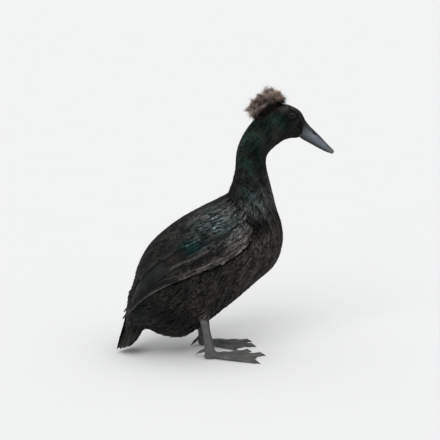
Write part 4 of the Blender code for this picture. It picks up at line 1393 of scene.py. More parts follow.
class DUCK_OT_wings(bpy.types.Operator):
    """Makes the folded wings: their tiers of long feathers, and the small coverts of their fronts"""

    bl_idname = "duck.wings"
    bl_label = "Wings"

    def execute(self, context):
        sizes = context.scene.plumage_sizes
        ground = Ground(bpy.data.objects["duck_skin"])
        for word, side in SIDES.items():
            chance = np.random.default_rng(51 + side)
            groups = []
            for tier in WING_TIERS.values():
                line, ups = tier_lines(side, tier, chance)
                widths = tier["width"] * MM * chance.uniform(0.94, 1.06, len(line))
                groups.append(vanes(line, ups, widths, tier["edges"], chance, side, tier["tilt"], skew=0.12))
            wing = vane_piece("wing_feathers_" + word, vane_look(sizes), groups, chance)
            finish_piece(wing, "flight_feathers", "wing_" + word)
            self.lay_coverts("wing_coverts_" + word, side, sizes, ground, chance)
            for kind, layer in WING_LAYERS.items():
                self.lay_layer(f"wing_{kind}_{word}", layer, side, sizes, chance)
        return {"FINISHED"}

    def lay_coverts(self, name, side, sizes, ground, chance):
        """Small feathers over the wing's front, which shorten towards its edge."""

        def surface(t, k):
            rows = curve_through(WING_CORE, np.clip(t, 0, 1) * (len(WING_CORE) - 1))
            angle = side * angle_at(rows[:, 1] + (rows[:, 2] - rows[:, 1]) * k)
            return body_point(rows[:, 0], angle, (core_lift(np.clip(k, 0, 1), t) - COVERT_DEPTH_MM) * MM)

        def gap_of(t, k):
            return (3.0 - 1.2 * np.clip(t - 0.4, 0, 1) / 0.6) * MM

        t, k = scattered(surface, (0.05, 0.02), (0.985, 0.98), gap_of, chance)
        kept = t > 0.2 + 0.34 * np.clip((k - 0.1) / 0.35, 0, 1)
        t, k = t[kept], k[kept]
        roots = surface(t, k)
        near_front = np.clip((t - 0.45) / 0.55, 0, 1)
        ways = -unit(slopes(surface, t, k, 0.01)[0])
        normals = ground.nearest(roots)[1]
        length = sizes.covert * (1 - 0.5 * near_front)
        made = [length, (6.4 - 3.0 * near_front) * MM, (2.9 - 1.1 * near_front) * MM, np.full(len(t), 0.3)]
        spines = laid(ground, roots, ways, normals, made, 5, chance)
        small_feathers(name, vane_look(sizes), spines, made, homes_at(k, t), chance, 0.8, True)

    def lay_layer(self, name, layer, side, sizes, chance):
        """Small coverts over the long ones, in the layer's own rows."""
        last = len(layer["rows"]) - 1

        def surface(t, k):
            rows = curve_through(layer["rows"], np.clip(t, 0, 1) * last)
            place, low, high, low_lift, high_lift = np.moveaxis(rows, -1, 0)
            lift = low_lift + (high_lift - low_lift) * np.clip(k, 0, 1) ** 0.8
            angle = angle_at(low) + (angle_at(high) - angle_at(low)) * k
            return body_point(place, side * angle, lift * MM)

        def gap_of(t, k):
            return layer["gap"] * MM + 0 * t

        t, k = scattered(surface, (0, 0), (layer["last"], 1), gap_of, chance)
        count = len(t)
        length = layer["length"] * MM * np.clip(0.6 + 1.6 * t, 0.6, 1) * chance.uniform(0.85, 1.15, count)
        speed = np.linalg.norm(slopes(surface, t, k, 0.01)[0], axis=1)
        shares = np.array(SMALL_SHARES[5])
        along = t[:, None] + (length / speed)[:, None] * shares
        across = k[:, None] - layer["droop"] * shares * chance.uniform(-0.6, 1.6, (count, 1))
        line = surface(along, across)
        way = unit(np.gradient(line, axis=1))
        around = unit(surface(along, across + 0.02) - surface(along, across - 0.02))
        ups = unit(np.cross(way, around)) * side
        width = layer["width"] * MM * np.clip(0.7 + t, 0.7, 1)
        made = [length, width, np.full(count, layer["rise"] * MM), np.full(count, 0.35)]
        small_feathers(name, vane_look(sizes), (line, ups), made, homes_at(k, t), chance, 0.6, True)


def tail_lines(across, length, lift):
    """The spines of the tail's feathers on the left side, from the middle one (0) outwards (1)."""
    across = across[:, None]
    root, tip = between(TAIL_ROOTS_MM, across), between(TAIL_TIPS_MM, across)
    out = unit(np.cross(tip - root, between(TAIL_TIPS_MM, across + 0.1) - tip))
    tip = root + (tip - root) * length[:, None]
    t = VANE_SHARES[None, :, None]
    bow = np.array([1, 0, 0]) * TAIL_BOW_MM * np.sin(np.pi * t * length[:, None, None])
    line = root[:, None] + (tip - root)[:, None] * t + bow + (out * lift[:, None])[:, None]
    return placed(line), np.repeat(out[:, None], VANE_RINGS, axis=1)


class DUCK_OT_tail(bpy.types.Operator):
    """Makes the fan of the tail, with its coverts above"""

    bl_idname = "duck.tail"
    bl_label = "Tail"

    def execute(self, context):
        chance = np.random.default_rng(71)
        groups = []
        for side in (LEFT, RIGHT):
            first = 0 if side == LEFT else 1
            fan = np.arange(first, TAIL_FEATHERS + 1)
            coverts = np.arange(first, TAIL_COVERTS + 1) / (TAIL_COVERTS + 1)
            sink = TAIL_STEP_MM * TAIL_FEATHERS * coverts
            rows = [
                (fan / TAIL_FEATHERS, 1.0, -TAIL_STEP_MM * fan, TAIL_WIDTH_MM),
                (coverts, 0.58, 1.5 - sink, 12.0),
                (coverts * 0.8 + 0.05, 0.34, 2.6 - sink, 11.0),
            ]
            for across, length, lift, width in rows:
                count = len(across)
                line, ups = tail_lines(across, length + chance.normal(0, 0.012, count), lift)
                flip = np.array([1, side, 1])
                widths = np.full(count, width * MM)
                groups.append(vanes(line * flip, ups * flip, widths, (0.15, 0.25), chance, side, 0.04, 0.05))
        tail = vane_piece("tail_feathers", vane_look(context.scene.plumage_sizes), groups, chance)
        finish_piece(tail, "flight_feathers", "tail")
        return {"FINISHED"}


# The crest


def crest_look(sizes):
    """Loose down: dark at its roots, taupe half way out and rusty at its tips, with painted shade near the
    head.
    """
    made, tree, shader = new_look("duck_crest", 0.8, 0.12)
    along, tone = attribute(tree, "along"), attribute(tree, "tone")
    rust = attribute(tree, "rust")
    colour = blend(tree, ramp(tree, along, 0.38, 0.88), sizes.root, sizes.middle)
    rusty = ramp(tree, calc(tree, "ADD", tone, rust), 0.3, 1.5)
    tips = times(tree, ramp(tree, along, 0.6, 1.0), rusty)
    colour = blend(tree, tips, colour, sizes.tip)
    warmth = {0: ramp(tree, rust, 0, 1, 1.0, 1.12), 1: 0.98, 2: ramp(tree, rust, 0, 1, 1.0, 0.85)}
    warm = put(tree, "ShaderNodeCombineXYZ", warmth).outputs[0]
    colour = put(tree, "ShaderNodeVectorMath", {0: colour, 1: warm}, operation="MULTIPLY").outputs[0]
    shade = ramp(tree, tone, 0.05, 0.95, 0.3, 2.0)
    # Painted shade where the strands lie near the head's skin.
    shade = times(tree, shade, ramp(tree, attribute(tree, "near"), 0.15, 1.0, 0.05, 1.35))
    tree.links.new(scaled(tree, colour, shade), shader.inputs["Base Color"])
    fuzz = noise(tree, object_place(tree), 900.0, 2.0)
    bumped(tree, shader, fuzz, 0.3, 0.0003)
    return made


def lobe_ways(lobe, lean, turn):
    """Directions out of a lobe's root, by their leans from the crown and turns round it."""
    flat = np.sin(lean)
    ways = np.stack([np.cos(turn) * flat, np.sin(turn) * flat, np.cos(lean)], -1)
    turn_to = UP.rotation_difference(Vector(lobe["crown"])).to_matrix()
    return ways @ np.array(turn_to).T


def lobe_reach(lobe, ways):
    """How far, in mm, a lobe's outline lies from its root along each direction."""
    narrow = ways / np.array([1, CREST_WIDTH, 1])
    offset = np.array(lobe["root"], float) - np.array(lobe["middle"], float)
    square = np.sum(narrow**2, axis=-1)
    b = narrow @ offset / square
    c = (offset @ offset - lobe["radius"] ** 2) / square
    return np.sqrt(b * b - c) - b


class DUCK_OT_crest(bpy.types.Operator):
    """Makes the crest: thousands of fine strands in rounded, tufted lobes"""

    bl_idname = "duck.crest"
    bl_label = "Crest"

    def execute(self, context):
        sizes = context.scene.crest_sizes
        ground = Ground(bpy.data.objects["duck_skin"])
        look = crest_look(sizes)
        for word, lobe in CREST_LOBES.items():
            obj = self.make_lobe("crest_" + word, lobe, sizes, ground, look)
            finish_piece(obj, "crest", *(["crest"] if word == "middle" else []))
        return {"FINISHED"}

    def make_lobe(self, name, lobe, sizes, ground, look):
        chance = np.random.default_rng(lobe["seed"])
        clumps, count = CREST_CLUMPS, sizes.strands
        # Clumps are spread evenly over the cap of directions that a lobe's locks point in.
        order = (np.arange(clumps) + 0.5) / clumps
        clump_lean = np.arccos(1 - order * (1 - math.cos(CREST_SPREAD)))
        clump_turn = np.arange(clumps) * math.pi * (3 - math.sqrt(5)) + chance.normal(0, 0.25, clumps)
        clump_long = np.clip(chance.normal(1.03, 0.17, clumps), 0.7, 1.3)
        clump_tone = chance.permutation(clumps) / clumps
        clump_sweep = chance.normal(0.4, 0.4, clumps)
        clump_swing = chance.normal(0, 0.6, clumps)
        which = chance.integers(0, clumps, count)
        t = np.array(STRAND_PLACES)
        spread = np.interp(t, (0, 0.45, 0.8, 1), (0.3, 0.2, 0.12, 0.09))
        off = chance.normal(0, 1, (count, 2, 1))
        stray = (chance.random(count) < 0.1)[:, None]
        outer = np.linalg.norm(off[..., 0], axis=1)
        off = off * spread * (1 + 1.6 * stray[:, None] * t)
        lean = clump_lean[which][:, None] + clump_sweep[which][:, None] * (t - 0.5) + off[:, 0]
        turn = clump_turn[which][:, None] + clump_swing[which][:, None] * t**2
        turn = turn + off[:, 1] / np.maximum(np.sin(clump_lean[which]), 0.3)[:, None]
        ways = lobe_ways(lobe, lean, turn)
        longer = clump_long[which] * chance.uniform(0.86, 1.06, count) * (1.08 - 0.13 * outer)
        longer = np.where(stray[:, 0], longer * chance.uniform(1.0, 1.3, count), longer)
        reach = lobe_reach(lobe, ways) * np.array(STRAND_REACHES) * (1 + (longer[:, None] - 1) * t)
        line = placed(np.array(lobe["root"]) + ways * reach[..., None])
        wave = np.sin(t * 5.5 + chance.uniform(0, 6.3, (count, 1))) * t * (0.7 + 1.6 * stray) * MM
        line = line + np.cross(ways, unit(chance.normal(size=(count, 1, 3)))) * wave[..., None]
        flat = line.reshape(-1, 3)
        found, normals = ground.nearest(flat)
        height = np.sum((flat - found) * normals, axis=1)
        low = np.repeat(t[None], count, 0).ravel() * 1.6 * MM
        flat = np.where((height < low)[:, None], found + normals * low[:, None], flat)
        # Painted shade: the strands darken near the head's skin, and most over the head, under the two tufts,
        # where only their roots show.
        ahead = (flat[:, 0] - SHIFT) / MM
        over = flat[:, 2] / MM - CREST_BROW_MM[1] - CREST_BROW_SLOPE * (ahead - CREST_BROW_MM[0])
        shaded = np.clip((7 - over) / 9, 0, 1) * np.clip((ahead - 45) / 10, 0, 1)
        near = np.clip(np.maximum(height, low) / (17 * MM), 0, 1) * (1 - 0.85 * shaded)
        line = flat.reshape(count, len(t), 3)
        for _ in range(2):
            line[:, 1:-1] = (line[:, :-2] + 2 * line[:, 1:-1] + line[:, 2:]) / 4
        way = unit(np.gradient(line, axis=1))
        side = unit(np.cross(way, unit(chance.normal(size=(count, 1, 3)))))
        over = np.cross(side, way)
        half = (sizes.width * chance.uniform(0.6, 1.3, (count, 1)) * np.array(STRAND_WIDTHS) / 2)[..., None]
        section = np.stack([line - side * half, line + over * half * 0.7, line + side * half], 2)
        points, faces, around = tubes(section)
        along = np.broadcast_to(t[None, :, None], section.shape[:3]).ravel()
        tips = line[:, -1] / MM
        rust = np.clip((tips[:, 0] - 70) / 24, 0, 1) * 0.9
        rust = rust + np.clip(chance.normal(0.05, 0.12, count), 0, 0.4)
        behind = np.exp(-(((tips[:, 0] - 50) / 9) ** 2 + ((tips[:, 2] - 405) / 8) ** 2))
        rust = np.clip(rust + 0.5 * behind, 0, 1)
        tone = (0.6 * clump_tone[which] + 0.4 * chance.random(count)) * lobe["light"]
        per = len(t) * 3
        values = {"tone": np.repeat(tone, per), "rust": np.repeat(rust, per), "near": np.repeat(near, 3)}
        values["along"] = along
        homes = homes_at((turn[:, 0] / (2 * np.pi)) % 1, np.clip(lean[:, 0] / 2.6 + 0.1, 0, 1))
        return mesh_object(name, points, faces, look, values, small_map(homes, around, along[faces]))


# Rows of small pieces along a path


def path_tree():
    """Geometry nodes that set one small piece again and again along a path, upright on the way
    that the path's own "out" values point, and as wide as its "girth" values say."""
    inputs = {
        "Geometry": "Geometry", "Piece": "Object", "Count": "Int", "Length": "Float",
        "Height": "Float", "Variation": "Float", "Seed": "Int", "Material": "Material",
    }
    tree, source, target = new_tree("row_along_a_path", "GeometryNodeTree", inputs, {"Geometry": "Geometry"})
    given = source.outputs

    def add(kind, values=None, output=0, **settings):
        return put(tree, kind, values, **settings).outputs[output]

    curve = add("GeometryNodeMeshToCurve", {0: given["Geometry"]})
    even = add("GeometryNodeResampleCurve", {"Curve": curve, "Count": given["Count"]})
    out = add("GeometryNodeInputNamedAttribute", {"Name": "out"}, data_type="FLOAT_VECTOR")
    girth = add("GeometryNodeInputNamedAttribute", {"Name": "girth"}, data_type="FLOAT")
    turn = add("FunctionNodeAlignRotationToVector", {"Vector": out}, axis="Z")
    tangent = add("GeometryNodeInputTangent")
    values = {"Rotation": turn, "Vector": tangent}
    turn = add("FunctionNodeAlignRotationToVector", values, axis="X", pivot_axis="Z")
    piece = add("GeometryNodeObjectInfo", {"Object": given["Piece"]}, "Geometry")
    least, most = (calc(tree, way, 1.0, given["Variation"]) for way in ("SUBTRACT", "ADD"))
    values = {2: least, 3: most, "Seed": given["Seed"]}
    vary = add("FunctionNodeRandomValue", values, 1, data_type="FLOAT")
    length, wide = times(tree, given["Length"], vary), times(tree, girth, vary)
    size = add("ShaderNodeCombineXYZ", {0: length, 1: wide, 2: given["Height"]})
    values = {"Points": even, "Instance": piece, "Rotation": turn, "Scale": size}
    real = add("GeometryNodeRealizeInstances", {0: add("GeometryNodeInstanceOnPoints", values)})
    coloured = add("GeometryNodeSetMaterial", {"Geometry": real, "Material": given["Material"]})
    tree.links.new(coloured, target.inputs[0])
    return tree


def path_row(name, paths, outs, girths, piece, count, length, height, variation, seed, look):
    """Small pieces set along paths, as one plain mesh."""
    tree = bpy.data.node_groups.get("row_along_a_path") or path_tree()
    points = [tuple(point) for path in paths for point in path]
    edges, start = [], 0
    for path in paths:
        edges += [(i, i + 1) for i in range(start, start + len(path) - 1)]
        start += len(path)
    mesh = bpy.data.meshes.new(name)
    mesh.from_pydata(points, edges, [])
    out = mesh.attributes.new("out", "FLOAT_VECTOR", "POINT")
    out.data.foreach_set("vector", np.concatenate(outs).astype(np.float32).ravel())
    girth = mesh.attributes.new("girth", "FLOAT", "POINT")
    girth.data.foreach_set("value", np.concatenate(girths).astype(np.float32))
    obj = added(name, mesh)
    step = obj.modifiers.new("Row", "NODES")
    step.node_group = tree
    values = {
        "Piece": piece, "Count": count, "Length": length, "Height": height,
        "Variation": variation, "Seed": seed, "Material": look,
    }
    for item in tree.interface.items_tree:
        if item.in_out == "INPUT" and item.name in values:
            step[item.identifier] = values[item.name]
    baked(obj)
    obj.data.shade_smooth()
    return obj


def plate(name, power=2.6, rings=5, sides=12):
    """A small raised plate, one metre across, for a row to repeat."""
    height = np.linspace(0, 1, rings)
    radius = (1 - height**power) ** (1 / power) * 0.5
    radius[-1] = 0.08
    angle = turns(sides)
    x, y = (radius[:, None] * wave(angle)[None] for wave in (np.cos, np.sin))
    z = np.broadcast_to(height[:, None] - 0.25, x.shape)
    return mesh_object(name, *shell(np.stack([x, y, z], -1)))


# The bill


def bill_look(parts):
    """Satin horn: slate at the sides with a painted satin highlight, darker on the ridge, olive at the tip.
    """
    made, tree, shader = new_look("duck_bill", 0.42, 0.4)
    place = object_place(tree)
    along, rise, nail = attribute(tree, "along"), attribute(tree, "rise"), attribute(tree, "nail")
    cloudy = noise(tree, place, 120.0, 4.0, 0.6)
    values = {"Vector": place, "Rotation": (0, math.radians(40), 0), "Scale": (60, 260, 420)}
    fine = noise(tree, put(tree, "ShaderNodeMapping", values).outputs[0], 1.0, 3.0)
    ridge = times(tree, ramp(tree, rise, 0.56, 0.84), ramp(tree, along, 0.35, 0.75, 1.0, 0.4))
    colour = blend(tree, ridge, parts.bill, parts.bill_dark)
    colour = blend(tree, times(tree, ramp(tree, rise, 0.3, 0.04), 0.8), colour, parts.bill_dark)
    # A painted satin highlight along the side of the upper bill.
    patch = times(tree, ramp(tree, rise, 0.3, 0.55), ramp(tree, rise, 0.92, 0.7))
    patch = times(tree, patch, ramp(tree, along, 0.08, 0.3), ramp(tree, along, 0.72, 0.45), 0.6)
    colour = blend(tree, patch, colour, parts.bill_highlight)
    colour = blend(tree, ramp(tree, along, 0.6, 0.88, 0.0, 0.9), colour, parts.bill_tip)
    colour = blend(tree, nail, colour, parts.bill_dark)
    colour = blend(tree, attribute(tree, "dark"), colour, parts.bill_dark)
    shade = times(tree, ramp(tree, cloudy, 0.3, 0.7, 0.78, 1.18), ramp(tree, fine, 0.3, 0.7, 0.9, 1.1))
    shade = times(tree, shade, ramp(tree, along, 0.0, 0.22, 0.5, 1.0))
    tree.links.new(scaled(tree, colour, shade), shader.inputs["Base Color"])
    tree.links.new(ramp(tree, cloudy, 0.3, 0.7, 0.36, 0.5), shader.inputs["Roughness"])
    bumped(tree, shader, fine, 0.25, 0.0003)
    return made


BILL_RINGS, UPPER_SIDES, LOWER_SIDES = 90, 48, 30
MOUTH_SIDES = 6
NAIL_START, NAIL_HALF = 6.35, 0.52


def bill_rings(lower):
    """The rings of the upper or the lower bill, with the values that its look reads."""
    last = len(BILL_STATIONS) - 1
    place = np.linspace(-0.8, last, BILL_RINGS)
    rows = np.array(BILL_ROWS)
    rows = curve_through(rows, np.maximum(place, 0)) + np.minimum(place, 0)[:, None] * (rows[1] - rows[0])
    ridge_x, ridge_z, mouth_x, mouth_z, half, under_x, under_z = rows.T
    mouth = np.stack([mouth_x, 0 * mouth_x, mouth_z], -1)
    crown = np.stack([ridge_x, 0 * ridge_x, ridge_z], -1)
    sides, roundness = UPPER_SIDES, 0.85
    if lower:
        crown = np.stack([under_x, 0 * under_x, under_z], -1)
        mouth = mouth + unit(crown - mouth) * 0.35
        half, sides, roundness = half * LOWER_BILL_WIDTH, LOWER_SIDES, 0.7
    angle = np.linspace(0, np.pi, sides)
    across = signed_power(np.cos(angle), 0.9)
    rise = np.sin(angle) ** roundness
    rise[[0, -1]] = 0
    up = unit(crown - mouth)[:, None]
    tall = np.linalg.norm(crown - mouth, axis=1)[:, None]
    t = place[:, None]
    share = np.broadcast_to(rise[None], (BILL_RINGS, sides))
    sideways = np.broadcast_to(across[None], (BILL_RINGS, sides))
    dent = np.zeros((BILL_RINGS, sides))
    nail = np.zeros((BILL_RINGS, sides))
    if not lower:
        # A lip along the mouth, a hollow above it, a groove round the nail and the nail itself.
        dent += 0.35 * np.exp(-((share - 0.1) / 0.09) ** 2) * np.clip(t / 2, 0, 1)
        dent -= 0.55 * np.exp(-((share - 0.45) / 0.2) ** 2) * np.exp(-((t - 3.4) / 1.9) ** 2)
        round_nail = np.hypot(sideways / NAIL_HALF, np.minimum(t - 7.25, 0) / 0.95)
        nail = 1 / (1 + np.exp((round_nail - 0.92) * 14)) * (t > NAIL_START - 1)
        dent += 0.45 * nail - 0.3 * np.exp(-((round_nail - 1.05) / 0.14) ** 2) * (t > NAIL_START - 0.6)
    points = mouth[:, None] + up * (tall * rise)[..., None]
    points = points + np.array([0, 1, 0]) * (half[:, None] * across)[..., None]
    middle = mouth + (crown - mouth) * 0.35
    out = unit(points - middle[:, None])
    points = placed(points + out * dent[..., None])
    # The flat face along the mouth is closed with its own points, so that the edge stays crisp.
    flat = np.linspace(1, 0, MOUTH_SIDES + 2)[1:-1][None, :, None]
    floor = points[:, :1] * (1 - flat) + points[:, -1:] * flat
    ring = np.concatenate([points, floor[:, ::-1]], axis=1)
    spare = ((0, 0), (0, MOUTH_SIDES))
    along = np.broadcast_to(np.maximum(t, 0) / last, share.shape)
    values = {
        "along": np.pad(along, spare, mode="edge"),
        "rise": np.pad(share, spare),
        "nail": np.pad(nail * 0.85, spare),
        "dark": np.full(ring.shape[:2], 0.9 if lower else 0.0),
    }
    return ring, {key: value.ravel() for key, value in values.items()}


class DUCK_OT_bill(bpy.types.Operator):
    """Makes the upper and lower bill, with nostrils, nail and the comb along the mouth"""

    bl_idname = "duck.bill"
    bl_label = "Bill"

    def execute(self, context):
        look = bill_look(context.scene.bare_parts)
        shift = np.array([math.cos(BILL_SLOPE), 0, math.sin(BILL_SLOPE)]) * BILL_FORWARD_MM * MM
        for name, lower, node in (("upper_bill", False, "bill_upper"), ("lower_bill", True, "bill_lower")):
            ring, values = bill_rings(lower)
            obj = mesh_object(name, *shell(ring + shift), look, values)
            if not lower:
                self.cut_nostrils(obj)
            obj.data.set_sharp_from_angle(angle=math.radians(42))
            finish_piece(obj, "bill", node)
        self.make_comb(look)
        return {"FINISHED"}

    def cut_nostrils(self, obj):
        """Cuts the nostrils and paints shade inside them."""
        slope = Matrix.Rotation(NOSTRIL_SLOPE, 4, "Y")
        radii = np.array(NOSTRIL_RADII_MM) * MM
        dark = np.zeros(1)
        for side in SIDES.values():
            cut(obj, *ball(at_side(NOSTRIL_AT_MM, side), radii, slope, 16, 24))
            middle = np.array(at_side(NOSTRIL_AT_MM, side))
            far = np.linalg.norm((points_of(obj.data) - middle) @ np.array(slope.to_3x3()) / radii, axis=1)
            dark = np.append(dark, np.zeros(max(0, len(far) - len(dark))))[: len(far)]
            # Painted shade inside each nostril.
            dark = np.maximum(dark, np.clip((1.12 - far) / 0.1, 0, 1))
        set_values(obj.data, {"dark": dark})

    def make_comb(self, look):
        """The fine comb that shows along the mouth, under the edge of the upper bill."""
        place = np.linspace(1.2, 6.6, 40)
        rows = curve_through(BILL_ROWS, place)
        paths, outs, girths = [], [], []
        for side in SIDES.values():
            y = rows[:, 4] * LOWER_BILL_WIDTH * 1.015 * side
            paths.append(placed(np.stack([rows[:, 2], y, rows[:, 3] - 0.25], -1)))
            outs.append(np.broadcast_to(np.array([0.0, side, -0.15]), (len(place), 3)))
            girths.append(np.full(len(place), 1.5 * MM))
        tooth = plate("comb_tooth", 2.0, 4, 8)
        comb = path_row("bill_comb", paths, outs, girths, tooth, 44, 0.5 * MM, 0.55 * MM, 0.1, 3, look)
        bpy.data.objects.remove(tooth)
        finish_piece(comb, "bill")


# The eyes


def eye_look(parts):
    """A wet eye: a black pupil in a dark brown ring."""
    made, tree, shader = new_look("duck_eye", 0.08, 0.12)
    pole = attribute(tree, "pole")
    rays = noise(tree, object_place(tree), 1400.0, 3.0)
    iris = blend(tree, ramp(tree, rays, 0.35, 0.65), parts.iris, (0.012, 0.006, 0.004))
    colour = blend(tree, ramp(tree, pole, 0.36, 0.42), (0.002, 0.002, 0.002), iris)
    colour = blend(tree, ramp(tree, pole, 0.74, 0.86), colour, (0.006, 0.005, 0.005))
    tree.links.new(colour, shader.inputs["Base Color"])
    shader.inputs["Coat Weight"].default_value = 0.08
    shader.inputs["Coat Roughness"].default_value = 0.03
    return made


def lid_look():
    """The bare, finely scaled rim of the eye."""
    made, tree, shader = new_look("duck_lids", 0.55, 0.3)
    scales = use_group(tree, "skin_scales", {"Scale": 1500.0})
    colour = blend(tree, scales["Crease"], (0.0135, 0.0145, 0.0145), (0.006, 0.006, 0.006))
    tree.links.new(colour, shader.inputs["Base Color"])
    bumped(tree, shader, scales["Height"], 0.5, 0.0002)
    return made


def lid_path(side, turn, grow=0.0):
    """Points round the opening of an eye, drawn out a little to its corners."""
    radius = LID_RADIUS_MM + grow
    corner = 1 + 0.14 * np.abs(np.cos(turn)) ** 6
    x = np.cos(turn) * radius * corner
    z = np.sin(turn) * radius * 0.8
    y = np.sqrt(np.maximum((EYE_RADIUS_MM + 0.1) ** 2 - (x / corner) ** 2 - z**2, 1.0))
    lean = math.radians(-14)
    x, z = x * math.cos(lean) - z * math.sin(lean), x * math.sin(lean) + z * math.cos(lean)
    return np.stack([x, side * (y + 1.3), z], -1) * MM + np.array(at_side(EYE_AT_MM, side))


class DUCK_OT_eyes(bpy.types.Operator):
    """Makes the eyes, with their lids and the fine beads along their rims"""

    bl_idname = "duck.eyes"
    bl_label = "Eyes"

    def execute(self, context):
        look, skin_look = eye_look(context.scene.bare_parts), lid_look()
        bead = plate("lid_bead", 2.0, 4, 8)
        for word, side in SIDES.items():
            centre = np.array(at_side(EYE_AT_MM, side))
            points, faces = ball(centre, (EYE_RADIUS_MM * MM,) * 3, None, 48, 48)
            off = (points - centre) / (EYE_RADIUS_MM * MM)
            pole = np.arccos(np.clip(off[:, 1] * side, -1, 1))
            swell = 0.32 * MM * np.exp(-((pole / 0.62) ** 4))
            points = points + off * swell[:, None]
            eye = mesh_object("eyeball_" + word, points, faces, look, {"pole": pole})
            finish_piece(eye, "eye", "eye_" + word)
            turn = turns(LID_STEPS)
            path = lid_path(side, turn)
            ahead = unit(np.roll(path, -1, axis=0) - np.roll(path, 1, axis=0))
            out = unit(path - centre)
            wide = unit(np.cross(ahead, out))
            around = turns(LID_SIDES)[None, :, None]
            thick = LID_THICKNESS_MM * MM * (1 + 0.25 * np.sin(turn))[:, None, None]
            section = out[:, None] * np.cos(around) * 0.8 + wide[:, None] * np.sin(around) * 1.2
            ring = path[:, None] + section * thick
            lids = mesh_object("lids_" + word, *shell(np.concatenate([ring, ring[:1]])), skin_look)
            bm = bmesh.new()
            bm.from_mesh(lids.data)
            last = LID_SIDES * LID_STEPS
            caps = [
                face for face in bm.faces
                if all(v.index < LID_SIDES for v in face.verts) or all(v.index >= last for v in face.verts)
            ]
            bmesh.ops.delete(bm, geom=caps, context="FACES_ONLY")
            bmesh.ops.remove_doubles(bm, verts=bm.verts, dist=1e-7)
            bmesh.ops.recalc_face_normals(bm, faces=bm.faces)
            bm.to_mesh(lids.data)
            bm.free()
            finish_piece(lids, "plumage")
            rim = lid_path(side, np.append(turn, 2 * np.pi), 0.85)
            beads = path_row(
                "lid_beads_" + word, [rim], [unit(rim - centre)], [np.full(len(rim), 0.55 * MM)],
                bead, 46, 0.6 * MM, 0.4 * MM, 0.2, 5, skin_look,
            )
            finish_piece(beads, "plumage")
        bpy.data.objects.remove(bead)
        return {"FINISHED"}


# The legs


def leg_look(parts):
    """Scaled skin: slate shanks, blue-grey webs, olive soles and toe ends."""
    made, tree, shader = new_look("duck_leg_skin", 0.5, 0.32)
    place = object_place(tree)
    split = put(tree, "ShaderNodeSeparateXYZ", {0: place})
    high = split.outputs["Z"]
    scales = use_group(tree, "skin_scales", {"Scale": 900.0})
    fine = use_group(tree, "skin_scales", {"Scale": 2100.0})
    cloudy = noise(tree, place, 70.0, 4.0, 0.6)
    low = ramp(tree, high, 0.002, 0.0065, 1.0, 0.0)
    colour = blend(tree, ramp(tree, high, 0.006, 0.014), parts.web, parts.leg)
    ahead = ramp(tree, split.outputs["X"], 0.035, 0.062)
    patch = times(tree, ramp(tree, cloudy, 0.42, 0.6), calc(tree, "MAXIMUM", ahead, times(tree, low, 0.75)))
    colour = blend(tree, times(tree, patch, 0.65), colour, parts.olive)
    colour = blend(tree, ramp(tree, high, 0.0615, 0.068, 0.0, 0.75), colour, (0.05, 0.043, 0.038))
    crease = calc(tree, "MAXIMUM", scales["Crease"], times(tree, fine["Crease"], 0.5))
    colour = blend(tree, times(tree, crease, 0.38), colour, (0.03, 0.031, 0.032))
    shade = ramp(tree, cloudy, 0.25, 0.75, 0.7, 1.3)
    tree.links.new(scaled(tree, colour, shade), shader.inputs["Base Color"])
    tree.links.new(ramp(tree, cloudy, 0.3, 0.7, 0.42, 0.58), shader.inputs["Roughness"])
    height = calc(tree, "ADD", scales["Height"], times(tree, fine["Height"], 0.4))
    bumped(tree, shader, height, 0.55, 0.0004)
    return made


def claw_look(parts):
    made, tree, shader = new_look("duck_claw", 0.35, 0.45)
    cloudy = noise(tree, object_place(tree), 500.0, 3.0)
    colour = blend(tree, ramp(tree, cloudy, 0.35, 0.65), parts.claw, [value * 2.4 for value in parts.claw])
    colour = blend(tree, ramp(tree, attribute(tree, "along"), 0.0, 0.35, 0.5, 0.0), colour, parts.leg)
    tree.links.new(colour, shader.inputs["Base Color"])
    bumped(tree, shader, cloudy, 0.2, 0.0002)
    return made


def shank_radii(share):
    """The radii fore and aft and across, from the hock (0) to the foot's joint (1)."""
    swell = np.cos(np.pi * share) ** 2
    return [(radius + swell * more) * MM for radius, more in zip(SHANK_RADII_MM, SHANK_SWELL_MM)]


def toe_path(side, toe, steps=TOE_STEPS):
    """The points along a toe, and its radii across and up, with a swelling at each knuckle."""
    heading, length, radius = TOES[side][toe]
    turn = math.radians(heading) * side
    way = np.array([math.cos(turn), math.sin(turn), 0])
    start = placed(np.array([HEEL_MM[side][0] + 4, HEEL_MM[side][1], 0]))
    share = np.linspace(0, 1, steps + 1)
    between = 0.5 - 0.5 * np.cos(2 * np.pi * KNUCKLES * share)
    size = (radius * (1.12 - 0.36 * share) - KNUCKLE_MM * between) * MM
    height = size * 0.82 + 3.4 * MM * (1 - share) ** 3
    points = start + way * (length * share * MM)[:, None]
    points[:, 2] += height
    return points, np.stack([size * 0.95, size], -1)


def hallux_path(side):
    heel = np.array([*HEEL_MM[side], 0.0])
    root = heel + (-4, side * -1.5, 15)
    tip = heel + (-16.5, side * -4, HALLUX_TIP_HEIGHT_MM[side])
    t = np.linspace(0, 1, HALLUX_STEPS + 1)[:, None]
    points = placed(between((root, tip), t))
    radii = np.interp(t[:, 0], (0, 0.25, 0.5, 0.75, 1), (3.0, 2.9, 2.6, 2.5, 1.9)) * MM
    return points, np.stack([radii, radii], -1)


def tube_along(path, radii, sides=16):
    """A closed tube along a path that isn't upright."""
    way = unit(np.gradient(path, axis=0))
    side = unit(np.cross(way, np.array([0, 0, 1])))
    up = np.cross(side, way)
    angle = turns(sides)[None, :, None]
    across = side[:, None] * radii[:, :1, None] * np.cos(angle)
    rise = up[:, None] * radii[:, 1:, None] * np.sin(angle)
    return shell(path[:, None] + across + rise)


